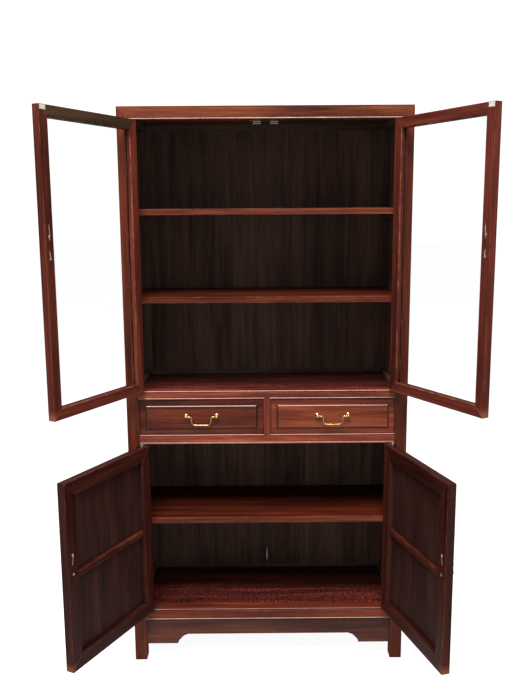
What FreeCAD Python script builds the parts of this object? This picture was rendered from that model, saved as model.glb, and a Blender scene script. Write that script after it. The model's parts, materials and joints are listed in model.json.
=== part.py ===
import FreeCAD, Part
import math
import os

from FreeCAD import Vector

# Cabinet with a glazed display cupboard above two drawers and a panelled cupboard.
# Frame: millimetres, +X to the right, +Y from the front to the back, +Z up. The origin is on the floor,
# midway between the sides, in the plane of the posts' front faces. The doors are stored standing open.

os.makedirs("parts", exist_ok=True)

# Carcass
WIDTH = 960.0
DEPTH = 406.0
HEIGHT = 1930.0
POST = 42.0                    # square section of the posts and of the top frame

# Heights of the front openings, from the floor
CUPBOARD_SILL = 196.0          # lower cupboard, bottom of the opening
CUPBOARD_HEAD = 808.0
DRAWER_SILL = 840.0
DRAWER_HEAD = 964.0
DISPLAY_SILL = 994.0           # glazed cupboard, bottom of the opening
DISPLAY_HEAD = HEIGHT - POST
BOTTOM_RAIL_UNDERSIDE = 154.0
DIVIDER_WIDTH = 24.0

# Bead that runs round every front opening: a strip set off by a narrow groove
BEAD_WIDTH = 5.0
BEAD_GROOVE = 1.6
BEAD_GROOVE_DEPTH = 2.0
CUT_MARGIN = 1.0               # cutters start this far outside the face they cut

# Aprons under the bottom rails
APRON_THICKNESS = 16.0
APRON_SETBACK = 5.0
APRON_CENTRE_Z = 96.0
APRON_FOOT_Z = 60.0
APRON_STEPS = ((0.0, 0.0), (5.0, 12.0), (22.0, 30.0), (38.0, 36.0))   # inward and up from the bracket's toe
FRONT_BRACKET_LENGTH = 112.0
SIDE_BRACKET_LENGTH = 70.0

# Side and back framing
SIDE_RAIL_THICKNESS = 30.0
SIDE_RAIL_SETBACK = 4.0
SIDE_PANEL_THICKNESS = 10.0
SIDE_PANEL_SETBACK = 10.0
BACK_RAIL_DEPTH = 40.0
BACK_PANEL_THICKNESS = 10.0
TOP_PANEL_THICKNESS = 14.0
TOP_PANEL_SETDOWN = 2.0

# Boards
BOARD_THICKNESS = 12.0
FLOOR_SETDOWN = 13.0           # floors lie this far below the top of the rail in front of them
SHELF_THICKNESS = 20.0
SHELF_SETBACK = 34.0           # shelf front edges stand behind the closed doors
SHELF_GAP = 1.0
SHELF_TOPS = {"display_shelf_upper": 1605.0, "display_shelf_lower": 1311.0, "cupboard_shelf": 526.0}
CLEAT_SECTION = 18.0
GUIDE_HEIGHT = 20.0            # strips beside the drawers

# Doors
DOOR_SIDE_GAP = 1.5
DOOR_END_GAP = 1.5
DOOR_MEETING_GAP = 2.0
GLASS_DOOR_THICKNESS = 24.0
GLASS_DOOR_MEMBER = 34.0
GLASS_THICKNESS = 4.0
GLASS_DEPTH = 6.0              # from the door's outer face to the glass
GLASS_REBATE = 7.0             # how far the pane reaches into the frame
PANEL_DOOR_THICKNESS = 28.0
PANEL_DOOR_MEMBER = 44.0
PANEL_DOOR_HEAD_GAP = 2.5
PANEL_DOOR_SILL_GAP = 2.0
DOOR_PANEL_THICKNESS = 7.0
DOOR_PANEL_DEPTH = 4.0
DOOR_PANEL_TONGUE = 7.0
DOOR_BATTEN_WIDTH = 26.0
DOOR_BATTEN_PROUD = 11.0
GLASS_DOOR_ANGLE = {"left": 118.0, "right": 118.5}    # how far each stored door stands open
PANEL_DOOR_ANGLE = {"left": 117.0, "right": 106.0}

# Butt hinges of the glass doors
BUTT_LENGTH = 55.0
BUTT_FROM_END = 15.0
BUTT_LEAF = 1.2
BUTT_LEAF_WIDTH = 20.0
BUTT_KNUCKLE_RADIUS = 2.4
BUTT_PIN_RADIUS = 1.2
BUTT_AXIS_PROUD = 2.5
BUTT_KNUCKLES = 5
KNUCKLE_GAP = 0.25
PIN_CLEARANCE = 0.05

# Knife-plate pivots of the panelled doors
PIVOT_INSET = 4.0              # from the door's hinge edge to the pivot
PIVOT_PROUD = 1.6              # the pivot stands this far in front of the door's face
PIVOT_PLATE = 2.0
PIVOT_PLATE_WIDTH = 11.0
PIVOT_PLATE_LENGTH = 42.0
PIVOT_PLATE_CENTRE = 6.0       # from the door's outer face to the plate's middle
PIVOT_PIN_RADIUS = 2.6
PIVOT_WASHER_RADIUS = 4.2
PIVOT_PLAY = 0.15              # end play of the pins and washers

# Raised fields of the drawer fronts and the door panels
FIELD_RISE = 3.5
FIELD_BEVEL = 4.0

# Drawers
DRAWER_GAP = 1.5
DRAWER_FRONT_THICKNESS = 22.0
DRAWER_FIELD_SIDE = 21.5
DRAWER_FIELD_END = 19.0
DRAWER_SIDE = 12.0
DRAWER_DEPTH = 332.0
DRAWER_SIDE_HEIGHT = 108.0
DRAWER_BOTTOM = 6.0
DRAWER_RUN_GAP = 0.8
DRAWER_BACK_DROP = 6.0         # the back board is this much lower than the sides

# Bail pulls of the drawers
BAIL_SPREAD = 105.0            # between the two posts
BAIL_DROP = 29.0
BAIL_WIRE = 2.2
BAIL_SHOULDER = 19.5           # from a post to the bail's vertical run
BAIL_TOP_BEND = 6.5
BAIL_LOW_BEND = 13.0
BAIL_AXIS_Z = 906.0
BAIL_AXIS_PROUD = 13.0
BAIL_KNOB_RADIUS = 5.5
BAIL_TIP = 3.3                 # how far the wire runs past the middle of each knob
BAIL_TIP_GAP = 0.2
BAIL_NECK_RADIUS = 3.0
ROSETTE_RADIUS = 8.0
ROSETTE_TOP_RADIUS = 4.4
ROSETTE_HEIGHT = 3.0

# Drop pulls of the doors
DROP_PLATE_WIDTH = 22.0
DROP_PLATE_LENGTH = 80.0
DROP_PLATE = 1.6
DROP_NAIL_SPREAD = 62.0
DROP_NAIL_RADIUS = 2.4
DROP_NAIL_SUNK = 1.0           # centre of the nail's ball below the plate's face
DROP_BOSS = 2.0
DROP_BOSS_RADIUS = 7.7
DROP_AXIS_PROUD = 8.6
DROP_PIN_RADIUS = 1.2
DROP_EAR = 1.6
DROP_EAR_RADIUS = 3.2
DROP_EAR_GAP = 0.3
DROP_PIN_STUB = 0.5            # the pin ends this far outside each ear
DROP_BARREL_LENGTH = 5.4
DROP_BARREL_RADIUS = 2.5
DROP_LENGTH = 34.0
DROP_BULB_RADIUS = 5.4
DROP_NECK_RADIUS = 1.5
DROP_NECK_LENGTH = 7.0
DROP_NECK_OVERLAP = 0.6        # the neck starts this far inside the barrel
DROP_COLLAR_RADIUS = 2.3
DROP_COLLAR_HEIGHT = 1.6
DROP_COLLAR_DROP = 5.0         # from the neck's top to the collar
GLASS_DOOR_PULL_Z = 1495.0
PANEL_DOOR_PULL_Z = 545.0

# Magnetic catches and their strikes
CATCH_CENTRE = 27.5
CATCH_FLANGE = (56.0, 18.0, 2.0)
CATCH_BODY = (32.0, 17.0, 13.0)
CATCH_SCREW_REACH = 22.0       # from the catch's middle to each screw
CATCH_SCREW_RADIUS = 3.2
CATCH_SCREW_SUNK = 1.2
CATCH_SCREW_PROUD = 2.0
STRIKE_PLATE = (22.0, 1.0, 13.0)
STRIKE_FROM_EDGE = 3.0
CATCH_GAP = 0.4

SIDES = ("left", "right")
HALF = WIDTH / 2
INNER = HALF - POST            # half the distance between the posts
BACK = DEPTH - POST            # front plane of the rear posts
SIDE_RAIL_FACE = HALF - SIDE_RAIL_SETBACK - SIDE_RAIL_THICKNESS
SIDE_PANEL_FACE = HALF - SIDE_PANEL_SETBACK - SIDE_PANEL_THICKNESS
DIVIDER = DIVIDER_WIDTH / 2
UP = Vector(0, 0, 1)


def box(x0, x1, y0, y1, z0, z1):
    """Block between two opposite corners."""
    return Part.makeBox(x1 - x0, y1 - y0, z1 - z0, Vector(x0, y0, z0))


def flip(shape):
    """Mirror image on the other side of the cabinet."""
    return shape.mirror(Vector(0, 0, 0), Vector(1, 0, 0))


def both_sides(shape):
    return [shape, flip(shape)]


def joined(first, *others):
    """One solid from pieces that overlap or share a face."""
    return first.fuse(list(others)).removeSplitter()


def less(shape, tools):
    for tool in tools:
        shape = shape.cut(tool)
    return shape


def save(node, solids):
    """Write one node; a node of several alike pieces keeps them as separate solids."""
    pieces = solids if isinstance(solids, list) else [solids]
    kept = [solid for piece in pieces for solid in piece.Solids]
    shape = kept[0] if len(kept) == 1 else Part.makeCompound(kept)
    shape.exportStep(f"parts/{node}.step")


def polygon_prism(points, direction):
    """Prism over a flat outline of vectors."""
    wire = Part.makePolygon(list(points) + [points[0]])
    return Part.Face(wire).extrude(direction)


def front_outline(points, y0, y1):
    """Prism over an outline drawn in X and Z, as seen from the front."""
    return polygon_prism([Vector(x, y0, z) for x, z in points], Vector(0, y1 - y0, 0))


def side_outline(points, x0, x1):
    """Prism over an outline drawn in Y and Z, as seen from the side."""
    return polygon_prism([Vector(x0, y, z) for y, z in points], Vector(x1 - x0, 0, 0))


def mitre_pyramid(base, apex):
    """Corner pyramid of a three-way mitre: the end of a member in its third of the corner cube."""
    faces = [Part.Face(Part.makePolygon(list(base) + [base[0]]))]
    for i, corner in enumerate(base):
        faces.append(Part.Face(Part.makePolygon([corner, base[(i + 1) % len(base)], apex, corner])))
    return Part.Solid(Part.Shell(faces))


def corner_square(fixed, value, x_range, y_range, z_range):
    """Corners of the cube face that lies in one of its planes."""
    if fixed == "x":
        return [Vector(value, y, z) for y, z in ring(y_range, z_range)]
    if fixed == "y":
        return [Vector(x, value, z) for x, z in ring(x_range, z_range)]
    return [Vector(x, y, value) for x, y in ring(x_range, y_range)]


def ring(first, second):
    """Corners of a rectangle, in order round it."""
    return [(first[0], second[0]), (first[1], second[0]), (first[1], second[1]), (first[0], second[1])]


def mitred_end(fixed, value, front):
    """End of a left-hand member in the top corner cube, at the front or at the back."""
    x_range = (-HALF, -INNER)
    y_range = (0.0, POST) if front else (BACK, DEPTH)
    apex = Vector(-HALF, 0.0 if front else DEPTH, HEIGHT)
    return mitre_pyramid(corner_square(fixed, value, x_range, y_range, (DISPLAY_HEAD, HEIGHT)), apex)


def opening_groove(x0, x1, z0, z1):
    """Rectangular groove round an opening; it leaves the bead between itself and the opening."""
    face = 0.0
    depth = BEAD_GROOVE_DEPTH
    inner = BEAD_WIDTH
    outer = BEAD_WIDTH + BEAD_GROOVE
    near = face - CUT_MARGIN
    cutter = box(x0 - outer, x1 + outer, near, face + depth, z0 - outer, z1 + outer)
    return cutter.cut(box(x0 - inner, x1 + inner, near, face + depth, z0 - inner, z1 + inner))


def front_grooves():
    """Bead grooves of the four front openings and of the bottom rail's lower edge."""
    low = BOTTOM_RAIL_UNDERSIDE + BEAD_WIDTH
    return [
        opening_groove(-INNER, INNER, DISPLAY_SILL, DISPLAY_HEAD),
        opening_groove(-INNER, -DIVIDER, DRAWER_SILL, DRAWER_HEAD),
        opening_groove(DIVIDER, INNER, DRAWER_SILL, DRAWER_HEAD),
        opening_groove(-INNER, INNER, CUPBOARD_SILL, CUPBOARD_HEAD),
        box(-INNER, INNER, -CUT_MARGIN, BEAD_GROOVE_DEPTH, low, low + BEAD_GROOVE),
    ]


# ---------------------------------------------------------------- carcass


def make_posts(grooves, hinge_cuts):
    """Square posts that run from the floor into the three-way mitres of the top corners."""
    front = joined(box(-HALF, -INNER, 0, POST, 0, DISPLAY_HEAD), mitred_end("z", DISPLAY_HEAD, True))
    rear = joined(box(-HALF, -INNER, BACK, DEPTH, 0, DISPLAY_HEAD), mitred_end("z", DISPLAY_HEAD, False))
    save("front_posts", [less(post, grooves + hinge_cuts) for post in both_sides(front)])
    save("rear_posts", both_sides(rear))


def make_top_frame(grooves):
    """Mitred top frame flush with the posts, with a floating panel set slightly down."""
    front_end = mitred_end("x", -INNER, True)
    back_end = mitred_end("x", -INNER, False)
    front = joined(box(-INNER, INNER, 0, POST, DISPLAY_HEAD, HEIGHT), front_end, flip(front_end))
    back = joined(box(-INNER, INNER, BACK, DEPTH, DISPLAY_HEAD, HEIGHT), back_end, flip(back_end))
    side = joined(
        box(-HALF, -INNER, POST, BACK, DISPLAY_HEAD, HEIGHT),
        mitred_end("y", POST, True),
        mitred_end("y", BACK, False),
    )
    save("top_front_rail", less(front, grooves))
    save("top_back_rail", back)
    save("top_side_rails", both_sides(side))
    top = HEIGHT - TOP_PANEL_SETDOWN
    save("top_panel", box(-INNER, INNER, POST, BACK, top - TOP_PANEL_THICKNESS, top))


def divider_points():
    """Pointed shoulders of the divider, which run up and down into the rails at 45 degrees."""
    point = DIVIDER
    up = [(-DIVIDER, DRAWER_HEAD), (DIVIDER, DRAWER_HEAD), (0, DRAWER_HEAD + point)]
    down = [(-DIVIDER, DRAWER_SILL), (DIVIDER, DRAWER_SILL), (0, DRAWER_SILL - point)]
    depth = POST / 4
    return front_outline(up, 0, depth), front_outline(down, 0, depth)


def make_front_rails(grooves, hinge_cuts):
    upper_point, lower_point = divider_points()
    above = box(-INNER, INNER, 0, POST, DRAWER_HEAD, DISPLAY_SILL)
    below = box(-INNER, INNER, 0, POST, CUPBOARD_HEAD, DRAWER_SILL)
    bottom = box(-INNER, INNER, 0, POST, BOTTOM_RAIL_UNDERSIDE, CUPBOARD_SILL)
    divider = joined(box(-DIVIDER, DIVIDER, 0, POST, DRAWER_SILL, DRAWER_HEAD), upper_point, lower_point)
    save("rail_above_drawers", less(above, [upper_point] + grooves))
    save("rail_below_drawers", less(below, [lower_point] + grooves + hinge_cuts))
    save("bottom_front_rail", less(bottom, grooves + hinge_cuts))
    save("drawer_divider", less(divider, grooves))


def apron_outline(half_length, bracket):
    """Apron seen face on: brackets at the ends, stepping and curving up to a straight middle."""
    toe = half_length - bracket
    right = [(toe - inward, APRON_FOOT_Z + up) for inward, up in APRON_STEPS]
    left = [(-along, z) for along, z in reversed(right)]
    top = BOTTOM_RAIL_UNDERSIDE
    ends = [(half_length, top), (half_length, APRON_FOOT_Z)]
    return ends + right + left + [(-half_length, APRON_FOOT_Z), (-half_length, top)]


def make_aprons():
    front_points = apron_outline(INNER, FRONT_BRACKET_LENGTH)
    front = front_outline(front_points, APRON_SETBACK, APRON_SETBACK + APRON_THICKNESS)
    middle = DEPTH / 2
    outline = [(middle + y, z) for y, z in apron_outline(middle - POST, SIDE_BRACKET_LENGTH)]
    outer = -HALF + APRON_SETBACK
    save("front_apron", front)
    save("side_aprons", both_sides(side_outline(outline, outer, outer + APRON_THICKNESS)))


def rail_bands():
    """Heights of the rails that ring the carcass under, between and over the compartments."""
    return (
        (BOTTOM_RAIL_UNDERSIDE, CUPBOARD_SILL),
        (CUPBOARD_HEAD, DRAWER_SILL),
        (DRAWER_HEAD, DISPLAY_SILL),
    )


def panel_bands():
    return ((CUPBOARD_SILL, CUPBOARD_HEAD), (DRAWER_SILL, DRAWER_HEAD), (DISPLAY_SILL, DISPLAY_HEAD))


def make_sides_and_back():
    side_rails = []
    side_panels = []
    back_rails = []
    back_panels = []
    for low, high in rail_bands():
        side_rails += both_sides(box(-HALF + SIDE_RAIL_SETBACK, -SIDE_RAIL_FACE, POST, BACK, low, high))
        back_rails.append(box(-INNER, INNER, BACK, BACK + BACK_RAIL_DEPTH, low, high))
    for low, high in panel_bands():
        side_panels += both_sides(box(-HALF + SIDE_PANEL_SETBACK, -SIDE_PANEL_FACE, POST, BACK, low, high))
        back_panels.append(box(-INNER, INNER, BACK, BACK + BACK_PANEL_THICKNESS, low, high))
    save("side_rails", side_rails)
    save("side_panels", side_panels)
    save("back_rails", back_rails)
    save("back_panels", back_panels)


def make_boards():
    """Floors between the rails, and the deck that the drawers run on."""
    tops = {
        "display_floor": DISPLAY_SILL - FLOOR_SETDOWN,
        "drawer_deck": DRAWER_SILL,
        "cupboard_floor": CUPBOARD_SILL - FLOOR_SETDOWN,
    }
    for node, top in tops.items():
        save(node, box(-SIDE_RAIL_FACE, SIDE_RAIL_FACE, POST, BACK, top - BOARD_THICKNESS, top))


def make_shelves():
    """Shelves notched round the posts, each on a cleat at either end."""
    cleats = []
    reach = SIDE_PANEL_FACE - SHELF_GAP
    between_posts = INNER - SHELF_GAP
    for node, top in SHELF_TOPS.items():
        low = top - SHELF_THICKNESS
        nose = box(-between_posts, between_posts, SHELF_SETBACK, POST + SHELF_GAP, low, top)
        board = box(-reach, reach, POST + SHELF_GAP, BACK - SHELF_GAP, low, top)
        save(node, joined(board, nose))
        edge = -SIDE_PANEL_FACE
        cleats += both_sides(box(edge, edge + CLEAT_SECTION, POST, BACK, low - CLEAT_SECTION, low))
    save("shelf_cleats", cleats)


def make_drawer_guides():
    """Strips on the deck that keep each drawer straight."""
    top = DRAWER_SILL + GUIDE_HEIGHT
    middle = DIVIDER + DRAWER_GAP * 2 - DRAWER_RUN_GAP
    outer = INNER - DRAWER_GAP * 2 + DRAWER_RUN_GAP
    side = box(-SIDE_RAIL_FACE, -outer, POST, BACK, DRAWER_SILL, top)
    save("drawer_guides", [box(-middle, middle, POST, BACK, DRAWER_SILL, top)] + both_sides(side))


def make_catches():
    """Two magnetic catches side by side under the top rail, behind the doors' free corners."""
    flange_x, flange_y, flange_z = CATCH_FLANGE
    body_x, body_y, body_z = CATCH_BODY
    front = GLASS_DOOR_THICKNESS + STRIKE_PLATE[1] + CATCH_GAP
    centre = -CATCH_CENTRE - 1
    low = DISPLAY_HEAD - flange_z
    flange = box(centre - flange_x / 2, centre + flange_x / 2, front, front + flange_y, low, DISPLAY_HEAD)
    body = box(centre - body_x / 2, centre + body_x / 2, front, front + body_y, low - body_z, low)
    head_room = box(-HALF, HALF, 0, DEPTH, low - CATCH_SCREW_PROUD, low + flange_z / 4)
    screws = []
    for sign in (-1, 1):
        ball_centre = Vector(centre + sign * CATCH_SCREW_REACH, front + flange_y / 2, low + CATCH_SCREW_SUNK)
        screws.append(Part.makeSphere(CATCH_SCREW_RADIUS, ball_centre).common(head_room))
    save("magnetic_catches", both_sides(joined(flange, body, *screws)))


# ---------------------------------------------------------------- hinges


def glass_door_axis():
    """Left-hand butt-hinge axis: in the middle of the side gap, just proud of the face."""
    return Vector(-INNER + DOOR_SIDE_GAP / 2, -BUTT_AXIS_PROUD, 0)


def panel_door_axis():
    return Vector(-INNER + DOOR_SIDE_GAP + PIVOT_INSET, -PIVOT_PROUD, 0)


def butt_heights():
    low = DISPLAY_SILL + DOOR_END_GAP + BUTT_FROM_END
    high = DISPLAY_HEAD - DOOR_END_GAP - BUTT_FROM_END - BUTT_LENGTH
    return low, high


def post_leaf_blocks():
    """Recesses for the fixed butt leaves in the left post's inner face."""
    face = -INNER
    return [box(face - BUTT_LEAF, face, 0, BUTT_LEAF_WIDTH, z, z + BUTT_LENGTH) for z in butt_heights()]


def door_leaf_blocks():
    """Recesses for the moving butt leaves in the left door's hinge edge."""
    edge = -INNER + DOOR_SIDE_GAP
    return [box(edge, edge + BUTT_LEAF, 0, BUTT_LEAF_WIDTH, z, z + BUTT_LENGTH) for z in butt_heights()]


def knuckles(axis, z, fixed):
    """Barrel pieces of one leaf: the fixed leaf has three, and the moving leaf the two between them."""
    step = BUTT_LENGTH / BUTT_KNUCKLES
    barrels = []
    for i in range(BUTT_KNUCKLES):
        if (i % 2 == 0) == fixed:
            at = Vector(axis.x, axis.y, z + i * step + KNUCKLE_GAP / 2)
            barrels.append(Part.makeCylinder(BUTT_KNUCKLE_RADIUS, step - KNUCKLE_GAP, at, UP))
    return barrels


def butt_leaf(axis, z, fixed):
    """One leaf of a butt hinge, let into the wood and wrapped round the pin."""
    barrels = knuckles(axis, z, fixed)
    if fixed:
        plate = box(-INNER - BUTT_LEAF, -INNER, axis.y, BUTT_LEAF_WIDTH, z, z + BUTT_LENGTH)
    else:
        edge = -INNER + DOOR_SIDE_GAP
        plate = box(edge, edge + BUTT_LEAF, axis.y, BUTT_LEAF_WIDTH, z, z + BUTT_LENGTH)
    step = BUTT_LENGTH / BUTT_KNUCKLES
    clear_radius = BUTT_KNUCKLE_RADIUS + KNUCKLE_GAP
    reach = 3 * BUTT_KNUCKLE_RADIUS
    for i in range(BUTT_KNUCKLES):
        if (i % 2 == 0) != fixed:
            low = z + i * step - KNUCKLE_GAP / 2
            high = low + step + KNUCKLE_GAP
            plate = plate.cut(Part.makeCylinder(clear_radius, high - low, Vector(axis.x, axis.y, low), UP))
            plate = plate.cut(box(axis.x - reach, axis.x + reach, axis.y - reach, 0, low, high))
    leaf = joined(plate, *barrels)
    foot = Vector(axis.x, axis.y, z)
    if fixed:
        return joined(leaf, Part.makeCylinder(BUTT_PIN_RADIUS, BUTT_LENGTH, foot, UP))
    return leaf.cut(Part.makeCylinder(BUTT_PIN_RADIUS + PIN_CLEARANCE, BUTT_LENGTH, foot, UP))


def pivot_plate(axis, z0, z1, start):
    """Knife plate: a bar along the edge with a rounded nose round the pivot."""
    middle = PIVOT_PLATE_CENTRE
    half = PIVOT_PLATE_WIDTH / 2
    bar = box(start, start + PIVOT_PLATE_LENGTH, middle - half, middle + half, z0, z1)
    nose = Part.makeCylinder(half, z1 - z0, Vector(axis.x, axis.y, z0), UP)
    neck = box(start, axis.x + half, axis.y, middle, z0, z1)
    return joined(bar, neck, nose)


def pivot_levels():
    """For the head and the sill: rail plate, gap and door plate, as pairs of heights."""
    head = (
        (CUPBOARD_HEAD, CUPBOARD_HEAD + PIVOT_PLATE),
        (CUPBOARD_HEAD - PANEL_DOOR_HEAD_GAP, CUPBOARD_HEAD),
        (CUPBOARD_HEAD - PANEL_DOOR_HEAD_GAP - PIVOT_PLATE, CUPBOARD_HEAD - PANEL_DOOR_HEAD_GAP),
    )
    sill = (
        (CUPBOARD_SILL - PIVOT_PLATE, CUPBOARD_SILL),
        (CUPBOARD_SILL, CUPBOARD_SILL + PANEL_DOOR_SILL_GAP),
        (CUPBOARD_SILL + PANEL_DOOR_SILL_GAP, CUPBOARD_SILL + PANEL_DOOR_SILL_GAP + PIVOT_PLATE),
    )
    return head, sill


def rail_plate_blanks():
    """Unbored plates of the rails above and below the panelled doors, which are also their recesses."""
    return [pivot_plate(panel_door_axis(), low, high, -INNER) for (low, high), _, _ in pivot_levels()]


def fixed_pivot_plates():
    """Rail plates bored for the doors' pins."""
    axis = panel_door_axis()
    bore = Part.makeCylinder(PIVOT_PIN_RADIUS + PIN_CLEARANCE, HEIGHT, Vector(axis.x, axis.y, 0), UP)
    return [blank.cut(bore) for blank in rail_plate_blanks()]


def moving_pivot_plates():
    """Plates let into the door's ends, with a washer and a pin that turns in the fixed plate."""
    axis = panel_door_axis()
    edge = -INNER + DOOR_SIDE_GAP
    plates = []
    for (rail_low, rail_high), (gap_low, gap_high), (low, high) in pivot_levels():
        plate = pivot_plate(axis, low, high, edge)
        upwards = rail_low > low
        washer_low = gap_low if upwards else gap_low + PIVOT_PLAY
        washer_high = gap_high - PIVOT_PLAY if upwards else gap_high
        washer_foot = Vector(axis.x, axis.y, washer_low)
        washer = Part.makeCylinder(PIVOT_WASHER_RADIUS, washer_high - washer_low, washer_foot, UP)
        pin_low = gap_low if upwards else rail_low + PIVOT_PLAY
        pin_high = rail_high - PIVOT_PLAY if upwards else gap_high
        pin = Part.makeCylinder(PIVOT_PIN_RADIUS, pin_high - pin_low, Vector(axis.x, axis.y, pin_low), UP)
        plates.append(joined(plate, washer, pin))
    return plates


def make_fixed_hinge_parts():
    leaves = [butt_leaf(glass_door_axis(), z, True) for z in butt_heights()]
    left = leaves + fixed_pivot_plates()
    save("frame_hinge_plates", left + [flip(shape) for shape in left])


# ---------------------------------------------------------------- doors


def mitred_frame(x0, x1, z0, z1, thickness, member):
    """Two stiles and two rails with 45-degree joints, as (stiles, rails)."""
    outer = ring((x0, x1), (z0, z1))
    inner = ring((x0 + member, x1 - member), (z0 + member, z1 - member))
    members = []
    for i in range(4):
        j = (i + 1) % 4
        members.append(front_outline([outer[i], outer[j], inner[j], inner[i]], 0, thickness))
    bottom, right, top, left = members
    return [left, right], [top, bottom]


def raised_field(x0, x1, z0, z1, y_base, rise, bevel):
    """Flat field that stands out of a panel on sloping edges, towards the front."""
    back = ring((x0, x1), (z0, z1))
    front = ring((x0 + bevel, x1 - bevel), (z0 + bevel, z1 - bevel))
    wires = []
    for outline, y in ((back, y_base), (front, y_base - rise)):
        points = [Vector(x, y, z) for x, z in outline]
        wires.append(Part.makePolygon(points + [points[0]]))
    return Part.makeLoft(wires, True, True)


def door_turn(shape, side, axis, angles):
    """Carry a piece made on the closed left door to where it stands on the stored, open door."""
    if side == "right":
        shape = flip(shape)
        return shape.rotated(Vector(-axis.x, axis.y, 0), UP, angles[side])
    return shape.rotated(axis, UP, -angles[side])


def drop_pull_plate(x, z):
    """Back plate of a drop pull on the door's outer face: nails, boss, two ears and the pin."""
    half_width = DROP_PLATE_WIDTH / 2
    straight = DROP_PLATE_LENGTH / 2 - half_width
    out = Vector(0, -1, 0)
    plate = box(x - half_width, x + half_width, -DROP_PLATE, 0, z - straight, z + straight)
    ends = [Part.makeCylinder(half_width, DROP_PLATE, Vector(x, 0, z + s * straight), out) for s in (-1, 1)]
    proud = box(
        x - half_width, x + half_width,
        -DROP_PLATE - DROP_NAIL_RADIUS, -DROP_PLATE / 2,
        z - DROP_PLATE_LENGTH, z + DROP_PLATE_LENGTH,
    )
    nails = []
    for s in (-1, 1):
        ball_centre = Vector(x, DROP_NAIL_SUNK - DROP_PLATE, z + s * DROP_NAIL_SPREAD / 2)
        nails.append(Part.makeSphere(DROP_NAIL_RADIUS, ball_centre).common(proud))
    boss = Part.makeCylinder(DROP_BOSS_RADIUS, DROP_BOSS, Vector(x, -DROP_PLATE, z), out)
    ear_inner = DROP_BARREL_LENGTH / 2 + DROP_EAR_GAP
    along = Vector(1, 0, 0)
    ears = []
    for start in (x - ear_inner - DROP_EAR, x + ear_inner):
        round_end = Part.makeCylinder(DROP_EAR_RADIUS, DROP_EAR, Vector(start, -DROP_AXIS_PROUD, z), along)
        low = z - DROP_EAR_RADIUS
        high = z + DROP_EAR_RADIUS
        ears += [round_end, box(start, start + DROP_EAR, -DROP_AXIS_PROUD, -DROP_PLATE, low, high)]
    length = 2 * (ear_inner + DROP_EAR + DROP_PIN_STUB)
    pin = Part.makeCylinder(DROP_PIN_RADIUS, length, Vector(x - length / 2, -DROP_AXIS_PROUD, z), along)
    return joined(plate, *ends, *nails, boss, *ears, pin)


def drop_pendant(x, z):
    """Teardrop that hangs from the pin and swings out from the door."""
    along = Vector(1, 0, 0)
    y = -DROP_AXIS_PROUD
    start = Vector(x - DROP_BARREL_LENGTH / 2, y, z)
    barrel = Part.makeCylinder(DROP_BARREL_RADIUS, DROP_BARREL_LENGTH, start, along)
    neck_z = z - DROP_BARREL_RADIUS + DROP_NECK_OVERLAP
    bulb_z = z - DROP_LENGTH + DROP_BULB_RADIUS
    collar_foot = Vector(x, y, neck_z - DROP_COLLAR_DROP)
    collar = Part.makeCylinder(DROP_COLLAR_RADIUS, DROP_COLLAR_HEIGHT, collar_foot, UP)
    stem = Part.makeCylinder(DROP_NECK_RADIUS, DROP_NECK_LENGTH, Vector(x, y, neck_z - DROP_NECK_LENGTH), UP)
    # The cone meets the bulb along the circle where its side is tangent to the sphere.
    cone_top = neck_z - DROP_NECK_LENGTH + 1
    tilt = math.asin((DROP_BULB_RADIUS - DROP_NECK_RADIUS) / (cone_top - bulb_z))
    tangent_z = bulb_z + DROP_BULB_RADIUS * math.sin(tilt)
    tangent_radius = DROP_BULB_RADIUS * math.cos(tilt)
    cone_foot = Vector(x, y, tangent_z)
    body = Part.makeCone(tangent_radius, DROP_NECK_RADIUS, cone_top - tangent_z, cone_foot, UP)
    bulb = Part.makeSphere(DROP_BULB_RADIUS, Vector(x, y, bulb_z))
    bore_start = start - along
    bore = Part.makeCylinder(DROP_PIN_RADIUS + PIN_CLEARANCE, DROP_BARREL_LENGTH + 2, bore_start, along)
    return joined(barrel, stem, collar, body, bulb).cut(bore)


def make_glass_door(side):
    """Glazed door: mitred frame, pane in a groove, butt leaves, strike plate and drop pull."""
    axis = glass_door_axis()
    x0 = -INNER + DOOR_SIDE_GAP
    x1 = -DOOR_MEETING_GAP / 2
    z0 = DISPLAY_SILL + DOOR_END_GAP
    z1 = DISPLAY_HEAD - DOOR_END_GAP
    member = GLASS_DOOR_MEMBER
    stiles, rails = mitred_frame(x0, x1, z0, z1, GLASS_DOOR_THICKNESS, member)
    reach = member - GLASS_REBATE
    pane = box(x0 + reach, x1 - reach, GLASS_DEPTH, GLASS_DEPTH + GLASS_THICKNESS, z0 + reach, z1 - reach)
    beading = opening_groove(x0 + member, x1 - member, z0 + member, z1 - member)
    stiles = [less(stile, [pane, beading] + door_leaf_blocks()) for stile in stiles]
    rails = [less(rail, [pane, beading]) for rail in rails]
    plate_x, plate_y, plate_z = STRIKE_PLATE
    plate_right = x1 - STRIKE_FROM_EDGE
    plate_top = z1 - STRIKE_FROM_EDGE / 2
    strike = box(
        plate_right - plate_x, plate_right,
        GLASS_DOOR_THICKNESS, GLASS_DOOR_THICKNESS + plate_y,
        plate_top - plate_z, plate_top,
    )
    pull_x = x1 - member / 2
    pieces = {
        "stiles": stiles,
        "rails": rails,
        "glass": [pane],
        "hinge_leaves": [butt_leaf(axis, z, False) for z in butt_heights()],
        "strike_plate": [strike],
        "pull_plate": [drop_pull_plate(pull_x, GLASS_DOOR_PULL_Z)],
        "pull_drop": [drop_pendant(pull_x, GLASS_DOOR_PULL_Z)],
    }
    for name, shapes in pieces.items():
        placed = [door_turn(shape, side, axis, GLASS_DOOR_ANGLE) for shape in shapes]
        save(f"{side}_glass_door_{name}", placed)


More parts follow.
